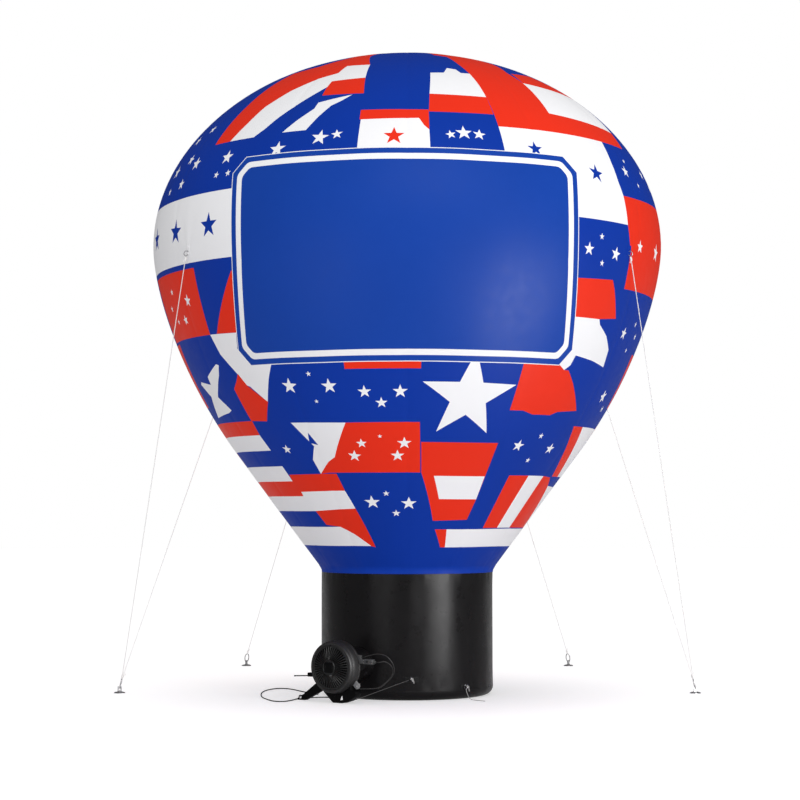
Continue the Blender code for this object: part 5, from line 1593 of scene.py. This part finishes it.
class OBJECT_OT_balloon_anchors(bpy.types.Operator):
    """Set the ground anchors with their forked posts and long rings"""
    bl_idname = "balloon.anchors"
    bl_label = "Anchors"

    def execute(self, context):
        for number in range(1, 5):
            low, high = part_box(f"anchor_{number}")
            x, y = (low.x + high.x) / 2, (low.y + high.y) / 2
            foot = Vector((x, y, 0.0))
            lean = (-foot).normalized()
            across = Vector((lean.y, -lean.x, 0.0))
            self.add_plate(number, axes(lean, -across, UP, foot))
            self.add_ring(number, foot, lean, across)
        return {"FINISHED"}

    def add_plate(self, number, place):
        plate = Solid(place)
        profile = [(0.0, 0.0), (0.0430, 0.0), (0.0450, 0.0015), (0.0450, 0.0038), (0.0400, 0.0070),
                   (0.0330, 0.0096), (0.0320, 0.0100), (0.0, 0.0100)]
        plate.add(lathe(profile, 48, closed=False))
        fork = [(-0.016, 0.006), (0.016, 0.006), (0.016, 0.052), (0.006, 0.052), (0.006, 0.022),
                (-0.006, 0.022), (-0.006, 0.052), (-0.016, 0.052)]
        plate.add(rounded(prism(fork, -0.006, 0.006), 0.0022, 3))
        weld = [(0.0205, 0.0095), (0.0180, 0.0125), (0.0150, 0.0150), (0.0150, 0.0095)]
        plate.add(lathe(weld, 24))
        bolt = [(0.0, 0.0085), (0.0050, 0.0085), (0.0050, 0.0118), (0.0040, 0.0126), (0.0, 0.0126)]
        for y in (-0.026, 0.026):
            plate.add(lathe(bolt, 6, closed=False), 0, Matrix.Translation((0.0, y, 0.0)))
        add_piece(f"anchor_plate_{number}", plate, [steel_look()], [f"anchor_{number}"])

    def add_ring(self, number, foot, lean, across):
        low, top, wire = 0.034, 0.116, 0.0042
        along = (UP + lean * 0.22).normalized()
        half = (top - low) / along.z / 2
        centre = foot + UP * low + along * half
        ring = Solid().add(hoop(centre, along * (half - wire), across * 0.019, wire, count=40))
        add_piece(f"anchor_ring_{number}", ring, [steel_look()], [f"anchor_link_{number}"])


# Base fittings

class OBJECT_OT_balloon_base_fittings(bpy.types.Operator):
    """Sew the base's two webbing tabs with their rings, knots and the tie to the blower"""
    bl_idname = "balloon.base_fittings"
    bl_label = "Base fittings"

    def execute(self, context):
        given = context.scene.balloon_rigging
        for name, row, tail in (("left", TAB_LEFT, 0.034), ("right", TAB_RIGHT, 0.026)):
            self.add_tab(name, *row, tail, given)
        self.add_tie()
        return {"FINISHED"}

    def add_tab(self, name, azimuth, height, lean, width, tail, given):
        low, high = max(height - 0.030, 0.076), height + 0.014
        reach = degrees(width / 2 / BASE_RADIUS)

        def place_at(u, v, side):
            edge = min(u, 1 - u, v, 1 - v) * 12
            lift = (0.0006 + 0.0036 * min(1.0, edge + 0.5)) if side == 0 else 0.0004
            return on_base(azimuth + reach * (2 * u - 1), low + (high - low) * v, lift + 0.002)

        tab = Solid().add(slab(24, 14, place_at))
        for row in (0.12, 0.88):
            for k in range(16):
                stitch = [place_at(0.06 + 0.055 * (k + t), row, 0) for t in (0.0, 0.6)]
                tab.add(swept(stitch, 0.0006, 4), 1)
        outward, sideways = directions(azimuth)
        ring = base_ring(azimuth, height)
        up, across = base_ring_plane(azimuth, lean)
        tab.add(hoop(ring, up * given.ring_radius, across * given.ring_radius, given.ring_wire), 2)
        lug = rounded(box((-0.011, -0.0105, -0.016), (0.011, 0.001, 0.006)), 0.003, 3)
        tab.add(lug, 0, axes(sideways, -outward, UP, base_point(azimuth, height, TAB_THICKNESS)))
        tab.add(knot_shape(ring + across * given.ring_radius, up, 0.0042, tail), 3)
        looks = [webbing_look(), thread_look(), bright_steel_look(), grey_rope_look()]
        add_piece(f"base_tab_sewn_{name}", tab, looks, [f"base_tab_{name}"])

    def add_tie(self):
        """The thin line from the left tab's ring down to the foot of the blower."""
        tie = Solid().add(swept(straight(*ends_of("tie_cord"), 40), 0.0019, 8))
        add_piece("tie_line", tie, [dark_rope_look()], ["tie_cord"])


def knot_shape(place, along, radius, tail):
    """Two interlocked turns of cord drawn tight, with a short tail hanging from them."""
    side, across = beside(along)
    points = []
    for k in range(49):
        angle = 2 * pi * k / 24
        swell = radius * (1.9 + 0.35 * cos(1.5 * angle))
        points.append(place + side * (swell * cos(angle)) + across * (swell * sin(angle))
                      + along * (radius * 1.3 * sin(angle * 0.75 + 0.6)))
    last = points[-1]
    for k in range(1, 7):
        share = k / 6
        points.append(last + side * (tail * 0.35 * share) - UP * (tail * share * (0.4 + 0.6 * share)))
    return swept(points, radius, 8)


# Blower

REST = DRUM_RADIUS + GAP
GROUND = -BLOWER_PLACE[2]
GUARD_FRONT = -0.0615
GUARD_REAR = -0.0535
GUARD_DOME = 0.024
GUARD_TOP = GUARD_FRONT - GUARD_DOME


def drum_arc(start, end, count):
    """(x, z) points round the drum between two angles in degrees."""
    reach = REST / cos(radians((end - start) / count / 2))
    turns = [radians(start + (end - start) * k / count) for k in range(count + 1)]
    return [(reach * cos(turn), reach * sin(turn)) for turn in turns]


def around(count):
    """The places of a row of like shapes round the drum's axis."""
    return [Matrix.Rotation(2 * pi * k / count, 4, "Y") for k in range(count)]


def screw_head(radius, height):
    """A round head with a cut in its middle, about Z."""
    profile = [(0.0, 0.0), (radius, 0.0), (radius, height * 0.55), (radius * 0.8, height),
               (radius * 0.35, height), (radius * 0.25, height * 0.5), (0.0, height * 0.5)]
    return lathe(profile, 16, closed=False)


def facing_front(x, y, z):
    """A place on the blower's front, with Z of what is put there towards the intake."""
    return Matrix.Translation((x, y, z)) @ Matrix.Rotation(pi / 2, 4, "X")


class OBJECT_OT_balloon_drum(bpy.types.Operator):
    """Turn the blower's drum with its rounded lip, grooves and outlet collar"""
    bl_idname = "balloon.drum"
    bl_label = "Drum"

    def execute(self, context):
        profile = [(0.1680, -0.0650), (0.1850, -0.0650), (0.1900, -0.0570), (0.1936, -0.0385),
                   (0.1920, -0.0372), (0.1926, -0.0340), (0.1948, -0.0325), (0.1980, -0.0160),
                   (0.1980, 0.0285), (0.1962, 0.0300), (0.1962, 0.0325), (0.1980, 0.0340),
                   (0.1980, 0.0470), (0.1870, 0.0600), (0.1400, 0.0600), (0.1252, 0.0600),
                   (0.1250, 0.0640), (0.1250, 0.1020), (0.1240, 0.1050), (0.1190, 0.1050),
                   (0.1190, 0.0520), (0.1800, 0.0520), (0.1860, 0.0400), (0.1860, -0.0160),
                   (0.1780, -0.0480), (0.1680, -0.0480)]
        drum = Solid(BLOWER).add(lathe(corner_rounded(profile, 0.0035), 128, axis="Y"))
        add_piece("blower_drum", drum, [drum_look()], ["blower_housing"])
        return {"FINISHED"}


class OBJECT_OT_balloon_guard(bpy.types.Operator):
    """Build the domed, slotted intake guard with its square-topped hub"""
    bl_idname = "balloon.guard"
    bl_label = "Intake guard"

    def execute(self, context):
        guard = Solid(BLOWER)
        rib = self.rib()
        for turn in around(context.scene.balloon_blower.ribs):
            guard.add(rib, 0, turn)
        rim = [(0.1540, GUARD_REAR), (0.1540, GUARD_FRONT + 0.001), (0.1552, GUARD_FRONT),
               (0.1655, GUARD_FRONT), (0.1672, GUARD_FRONT + 0.0016), (0.1672, GUARD_REAR)]
        guard.add(lathe(rim, 96, axis="Y"))
        hub = [(0.0, GUARD_REAR - GUARD_DOME), (0.0565, GUARD_REAR - GUARD_DOME), (0.0565, GUARD_TOP),
               (0.0545, GUARD_TOP - 0.0022), (0.0500, GUARD_TOP - 0.0022), (0.0480, GUARD_TOP),
               (0.0, GUARD_TOP)]
        guard.add(lathe(hub, 64, closed=False, axis="Y"))
        self.add_plate(guard, 0.040, 0.017, 6, (-0.0060, 0.0010), (0.0022, 3))
        self.add_plate(guard, 0.031, 0.012, 5, (-0.0072, -0.0050), (0.0009, 2))
        for k in range(6):
            angle = radians(30 + 60 * k)
            place = facing_front(0.1606 * cos(angle), GUARD_FRONT, 0.1606 * sin(angle))
            guard.add(screw_head(0.0036, 0.0018), 1, place)
        add_piece("blower_intake_guard", guard, [guard_look(), support_look()],
                  ["blower_grille"])
        return {"FINISHED"}

    def rib(self):
        """One rib, domed and wider towards the rim."""
        half, tip, bevel = 0.0021, 0.0010, 0.0018
        section = [(-half, GUARD_REAR), (half, GUARD_REAR), (half, GUARD_FRONT + bevel), (tip, GUARD_FRONT),
                   (-tip, GUARD_FRONT), (-half, GUARD_FRONT + bevel)]
        verts = []
        for k in range(11):
            share = k / 10
            radius = 0.054 + (0.1560 - 0.054) * share
            dome = GUARD_DOME * (1.0 - share ** 1.7)
            verts += [(x * (1.0 + 0.6 * share), y - dome, radius) for x, y in section]
        return lofted(verts, len(section))

    def add_plate(self, guard, half, corner, count, depth, edge):
        """A square plate with round corners on the hub."""
        outline = corner_rounded(rectangle(half), corner, count)
        guard.add(rounded(prism(outline, GUARD_TOP + depth[0], GUARD_TOP + depth[1]), *edge, 60.0), 1)


class OBJECT_OT_balloon_fan(bpy.types.Operator):
    """Make the fan that turns behind the guard and the motor that drives it"""
    bl_idname = "balloon.fan"
    bl_label = "Fan and motor"

    def execute(self, context):
        fan = Solid(BLOWER)
        hub = [(0.0078, -0.0430), (0.0290, -0.0450), (0.0400, -0.0420), (0.0440, -0.0350), (0.0440, -0.0040),
               (0.0400, -0.0040), (0.0400, -0.0300), (0.0140, -0.0340), (0.0140, -0.0050), (0.0078, -0.0050)]
        fan.add(lathe(corner_rounded(hub, 0.0020), 64, axis="Y"))
        blade = self.blade()
        for turn in around(context.scene.balloon_blower.blades):
            fan.add(blade, 0, turn)
        add_piece("fan_wheel", fan, [fan_look()], ["blower_impeller"], body="impeller")
        self.add_motor()
        return {"FINISHED"}

    def add_motor(self):
        """The motor with its cooling ribs, its shaft and its three arms."""
        motor = Solid(BLOWER)
        body = [(0.0, -0.0400), (0.0058, -0.0400), (0.0064, -0.0392), (0.0064, 0.0010), (0.0200, 0.0010),
                (0.0230, 0.0060), (0.0480, 0.0060), (0.0540, 0.0120), (0.0540, 0.0880), (0.0460, 0.0980),
                (0.0, 0.0980)]
        motor.add(lathe(body, 48, closed=False, axis="Y"))
        rib = rounded(box((-0.0014, 0.016, 0.0530), (0.0014, 0.086, 0.0580)), 0.0005, 1)
        arm = rounded(box((-0.009, 0.012, 0.052), (0.009, 0.034, 0.1850)), 0.0025, 2)
        for shape, count in ((rib, 24), (arm, 3)):
            for turn in around(count):
                motor.add(shape, 0, turn)
        add_piece("fan_motor", motor, [fan_look()], ["blower_motor"])

    def blade(self):
        """One twisted blade, thick in its middle."""
        outline = [(-1.0 + 2.0 * k / 6, 0.5 + 0.5 * sin(pi * k / 6)) for k in range(7)]
        section = [(u, 0.0006 + 0.0018 * thick) for u, thick in outline]
        section += [(u, 0.0012 * thick - 0.0014) for u, thick in reversed(outline)]
        verts = []
        for k in range(9):
            share = k / 8
            radius = 0.038 + (0.1640 - 0.038) * share
            pitch = radians(58.0 - 34.0 * share ** 0.7)
            half = 0.021 + 0.019 * share ** 0.8
            for u, thick in section:
                across, off = u * half, thick + 0.0030 * (1.0 - u * u)
                x = across * cos(pitch) - off * sin(pitch)
                y = across * sin(pitch) + off * cos(pitch)
                verts.append((x, -0.0225 + y * 0.55, sqrt(max(0.0, radius ** 2 - x ** 2))))
        return lofted(verts, len(section))


class OBJECT_OT_balloon_supports(bpy.types.Operator):
    """Form the blower's foot, steadying leg, side lever, lug and cord block"""
    bl_idname = "balloon.supports"
    bl_label = "Supports"

    def execute(self, context):
        self.add_foot()
        self.add_leg()
        self.add_lever()
        self.add_lug()
        self.add_lead_block()
        return {"FINISHED"}

    def add_foot(self):
        outline = drum_arc(222, 316, 24)
        outline += corner_rounded([(0.150, -0.1668), (0.192, -0.170), (0.200, -0.190), (0.184, -0.217),
                                   (0.133, -0.246), (0.070, GROUND), (-0.018, GROUND),
                                   (-0.105, GROUND + 0.078)], 0.008, 3)[2:-2]
        foot = Solid(BLOWER).add(rounded(prism(outline, -0.012, 0.058), 0.0030, 3, 25.0))
        for x, top, low in ((-0.030, -0.206, -0.250), (0.008, -0.204, -0.258), (0.046, -0.204, -0.258),
                            (0.110, -0.200, -0.236)):
            foot.add(rounded(box((x - 0.004, -0.0150, low), (x + 0.004, -0.0110, top)), 0.0014, 2))
        # The clip, coloured near white as a painted highlight
        clip = prism([(0.056, -0.243), (0.078, -0.240), (0.071, -0.210)], -0.0165, -0.0115)
        foot.add(rounded(clip, 0.0010, 2), 1)
        relief = [(0.0, 0.0495), (0.0110, 0.0495), (0.0110, 0.0590)]
        relief += ribbed(4, 0.0600, 0.0042, 0.0100, -0.0010, 0.0016, (0.0022, 0.0026, 0.0038))
        relief += [(0.0060, 0.0790), (0.0054, 0.0799), (0.0, 0.0799)]
        foot.add(lathe(relief, 32, closed=False, axis="Y"), 2, Matrix.Translation((0.0, 0.0, -0.222)))
        looks = [support_look(), painted_highlight_clip_look(), cable_look()]
        add_piece("blower_foot_moulding", foot, looks, ["blower_foot"])

    def add_leg(self):
        """The leg with its round end, a cheek on each side and the bolt with its washer."""
        x, z = -0.352, -0.2455
        outline = drum_arc(212, 220, 4)
        outline += corner_rounded([(-0.150, -0.185), (-0.310, GROUND), (-0.385, GROUND),
                                   (-0.385, GROUND + 0.014), (x, GROUND + 0.030)], 0.012, 4)[1:-1]
        leg = Solid(BLOWER).add(rounded(prism(outline, 0.020, 0.052), 0.0040, 3, 25.0))
        cheek = [(0.0, 0.0), (0.0185, 0.0), (0.0200, 0.0012), (0.0200, 0.0030), (0.0, 0.0030)]
        for y in (0.0170, 0.0520):
            leg.add(lathe(cheek, 32, closed=False, axis="Y"), 0, Matrix.Translation((x, y, z)))
        leg.add(screw_head(0.0085, 0.0052), 1, facing_front(x, 0.0172, z))
        washer = [(0.0115, 0.0), (0.0115, 0.0014), (0.0070, 0.0014), (0.0070, 0.0)]
        leg.add(lathe(washer, 24), 1, facing_front(x, 0.0176, z))
        looks = [support_look(), bright_steel_look()]
        add_piece("blower_leg_arm", leg, looks, ["blower_leg"])

    def add_lever(self):
        """The side lever: its block on the drum, a rod, a nut and a round end."""
        height, half, end, bevel = -0.068, 0.0155, -0.264, 0.004
        low, top = (degrees(asin(z / REST)) for z in (height - half, height + half))
        outline = drum_arc(180 - top, 180 - low, 4)
        outline += [(end + bevel, height - half), (end, height - half + bevel),
                    (end, height + half - bevel), (end + bevel, height + half)]
        lever = Solid(BLOWER).add(rounded(prism(outline, -0.010, 0.018), 0.0022, 2, 40.0))
        start, tip = Vector((end + 0.006, 0.004, -0.077)), Vector((-0.400, 0.004, -0.085))
        lever.add(swept(straight(start, tip, 12), 0.0043, 16))
        nut = [(0.0, 0.0), (0.0065, 0.0), (0.0072, 0.001), (0.0072, 0.006), (0.0065, 0.007), (0.0, 0.007)]
        knob = [(0.0, -0.0020), (0.0044, -0.0020), (0.0052, -0.0010), (0.0052, 0.0090), (0.0044, 0.0100),
                (0.0, 0.0100)]
        for profile, sides, place in ((nut, 6, (end - 0.0065, 0.004, -0.0775)), (knob, 24, tip)):
            lever.add(lathe(profile, sides, closed=False, axis="X"), 0, Matrix.Translation(place))
        add_piece("side_lever_rod", lever, [support_look()], ["side_lever"])

    def add_lug(self):
        outline = drum_arc(318, 330, 4)
        outline += corner_rounded([(0.198, -0.112), (0.206, -0.132), (0.196, -0.154), (0.172, -0.160)],
                                  0.008, 4)[1:-1]
        lug = Solid(BLOWER).add(rounded(prism(outline, 0.020, 0.036), 0.0028, 3, 30.0))
        lug.add(screw_head(0.0060, 0.0030), 1, facing_front(0.184, 0.0202, -0.137))
        add_piece("foot_lug_pale", lug, [pale_plastic_look(), steel_look()], ["foot_lug"])

    def add_lead_block(self):
        outline = [(0.1451, -0.1458), (0.1497, -0.1640), (0.1660, -0.1632), (0.1660, -0.1488)]
        block = Solid(BLOWER).add(rounded(prism(outline, 0.0426, 0.0574), 0.0015, 2, 40.0))
        add_piece("lead_block", block, [cable_look()], ["cord_gland"])


class OBJECT_OT_balloon_switch_box(bpy.types.Operator):
    """Fit the switch box on its curved bracket at the drum's side"""
    bl_idname = "balloon.switch_box"
    bl_label = "Switch box"

    def execute(self, context):
        low, top = 0.029, 0.066
        middle = (low + top) / 2
        parts = Solid(BLOWER).add(rounded(box((0.232, 0.030, low), (0.322, 0.064, top)), 0.0050, 4))
        joint = box((0.2335, 0.0292, middle - 0.0010), (0.3205, 0.0648, middle + 0.0010))
        parts.add(rounded(joint, 0.0006, 1), 1)
        relief = [(0.0, 0.3190), (0.0165, 0.3190), (0.0160, 0.3230)]
        relief += ribbed(4, 0.3245, 0.0040, 0.0135, -0.0020, 0.0018, (0.0020, 0.0025, 0.0036))
        relief += [(0.0052, 0.3415), (0.0, 0.3415)]
        parts.add(lathe(relief, 24, closed=False, axis="X"), 1, Matrix.Translation((0.0, 0.047, middle)))
        rocker = box((0.262, 0.0260, middle - 0.0085), (0.288, 0.0302, middle + 0.0085))
        parts.add(rounded(rocker, 0.0016, 2), 1)
        for x in (0.240, 0.314):
            for z in (low + 0.008, top - 0.008):
                parts.add(screw_head(0.0022, 0.0012), 2, facing_front(x, 0.0302, z))
        bracket = [(0.240, 0.034), (0.240, 0.058), (0.218, 0.064), (0.214, 0.068), (0.214, 0.092)]
        bracket += drum_arc(*(degrees(asin(z / REST)) for z in (0.096, 0.030)), 10)
        parts.add(rounded(prism(bracket, 0.030, 0.045), 0.0016, 2, 30.0))
        socket = [(0.0, 0.2060), (0.0075, 0.2060), (0.0070, 0.2110), (0.0050, 0.2142), (0.0, 0.2142)]
        parts.add(lathe(socket, 20, closed=False, axis="X"), 1, Matrix.Translation((0.0, 0.0375, 0.079)))
        looks = [grey_look(), cable_look(), steel_look()]
        add_piece("switch_box_moulded", parts, looks, ["switch_box"])
        return {"FINISHED"}


SLEEVE_INNER = 0.1258
SLEEVE_THICKNESS = 0.0052
SLEEVE_FRONT = 0.0637
SLEEVE_LEAST = (0.1285, 0.1256)
STRAP_TURN = Matrix.Rotation(radians(38), 4, "Y")


def sleeve_point(u, v, side):
    """A point on the sleeve: u round it, v from the blower to the base, side 0 outer and 1 inner."""
    angle = 2 * pi * u
    slack = sin(pi * min(1.0, max(0.0, (v - 0.25) / 0.75)))
    gather = 0.0013 * sin(angle * 27 + 0.6) + 0.0010 * sin(angle * 16)
    billow = slack * (0.0040 * sin(angle * 5 + v * 5.0) + 0.0030 * sin(angle * 9 - v * 8.0) - 0.002)
    radius = SLEEVE_INNER + (1 - side) * SLEEVE_THICKNESS * 0.85
    radius += (gather * (1 - v) + billow) * (1 - 0.4 * side)
    radius -= 0.0004 * max(0.0, 1 - abs(v - 0.22) / 0.20)
    radius = max(radius, SLEEVE_LEAST[side])
    x, z = radius * cos(angle), radius * sin(angle)
    # The sleeve runs on along the blower's axis until it meets the base wall
    axis = BLOWER.to_3x3() @ Vector((0.0, 1.0, 0.0))
    root = BLOWER @ Vector((x, 0.0, z))
    b = root.x * axis.x + root.y * axis.y
    c = root.x ** 2 + root.y ** 2 - (BASE_RADIUS + 0.0010) ** 2
    reach = -b - sqrt(b * b - c)
    return BLOWER @ Vector((x, SLEEVE_FRONT + (reach - SLEEVE_FRONT) * v, z))


class OBJECT_OT_balloon_sleeve(bpy.types.Operator):
    """Draw the air sleeve over the collar, gathered under its strap"""
    bl_idname = "balloon.sleeve"
    bl_label = "Air sleeve"

    def execute(self, context):
        self.add_sleeve()
        self.add_strap()
        return {"FINISHED"}

    def add_sleeve(self):
        columns, rows = 144, 26
        verts = [sleeve_point(u / columns, v / rows, side) for side in (0, 1) for v in range(rows + 1)
                 for u in range(columns)]
        layer = columns * (rows + 1)
        outer = joined(rows + 1, columns)
        faces = outer + [tuple(layer + k for k in face) for face in outer]
        for end in (0, rows * columns):
            for u in range(columns):
                a, n = end + u, end + (u + 1) % columns
                faces.append((a, n, n + layer, a + layer))
        add_piece("air_sleeve", Solid().add((verts, faces)), [base_look()], ["blower_sleeve"])

    def add_strap(self):
        """The strap with its buckle and the loose end that lies along it."""
        low, top, first, last = 0.1316, 0.1344, 0.0722, 0.0958
        band = [(low, first), (top, first), (top + 0.0002, 0.0840), (top, last), (low, last)]
        strap = Solid(BLOWER).add(lathe(band, 96, axis="Y"))
        strap.add(rounded(box((-0.017, 0.0700, 0.1338), (0.017, 0.0980, 0.1392)), 0.0022, 3), 1, STRAP_TURN)
        verts, faces = rounded(box((0.012, 0.0745, 0.1340), (0.085, 0.0935, 0.1362)), 0.0008, 2)
        wrapped = [(v.z * sin(v.x / 0.136), v.y, v.z * cos(v.x / 0.136)) for v in verts]
        strap.add((wrapped, faces), 0, STRAP_TURN)
        add_piece("sleeve_band", strap, [webbing_look(), cable_look()], ["sleeve_strap"])


# Panel and main

STEPS = (
    OBJECT_OT_balloon_stage,
    OBJECT_OT_balloon_cords,
    OBJECT_OT_balloon_envelope,
    OBJECT_OT_balloon_banner,
    OBJECT_OT_balloon_base,
    OBJECT_OT_balloon_stays,
    OBJECT_OT_balloon_anchors,
    OBJECT_OT_balloon_base_fittings,
    OBJECT_OT_balloon_drum,
    OBJECT_OT_balloon_guard,
    OBJECT_OT_balloon_fan,
    OBJECT_OT_balloon_supports,
    OBJECT_OT_balloon_switch_box,
    OBJECT_OT_balloon_sleeve,
)
GROUPS = {
    "balloon_stage": StageSettings,
    "balloon_envelope": EnvelopeSettings,
    "balloon_banner": BannerSettings,
    "balloon_base": BaseSettings,
    "balloon_rigging": RiggingSettings,
    "balloon_blower": BlowerSettings,
    "balloon_cords": CordSettings,
}


class VIEW3D_PT_balloon(bpy.types.Panel):
    """Lists the settings and the steps that build the inflatable"""
    bl_idname = "VIEW3D_PT_balloon"
    bl_label = "Inflatable"
    bl_space_type = "VIEW_3D"
    bl_region_type = "UI"
    bl_category = "Inflatable"

    def draw(self, context):
        for name, settings in GROUPS.items():
            column = self.layout.box().column()
            for label in settings.__annotations__:
                column.prop(getattr(context.scene, name), label)
        for step in STEPS:
            self.layout.operator(step.bl_idname)


CLASSES = (*GROUPS.values(), *STEPS, VIEW3D_PT_balloon)


def register():
    for item in CLASSES:
        bpy.utils.register_class(item)
    for name, settings in GROUPS.items():
        setattr(bpy.types.Scene, name, PointerProperty(type=settings))


def unregister():
    for name in GROUPS:
        delattr(bpy.types.Scene, name)
    for item in reversed(CLASSES):
        bpy.utils.unregister_class(item)


def main():
    register()
    for step in STEPS:
        getattr(bpy.ops.balloon, step.bl_idname.split(".")[1])()


if __name__ == "__main__":
    main()
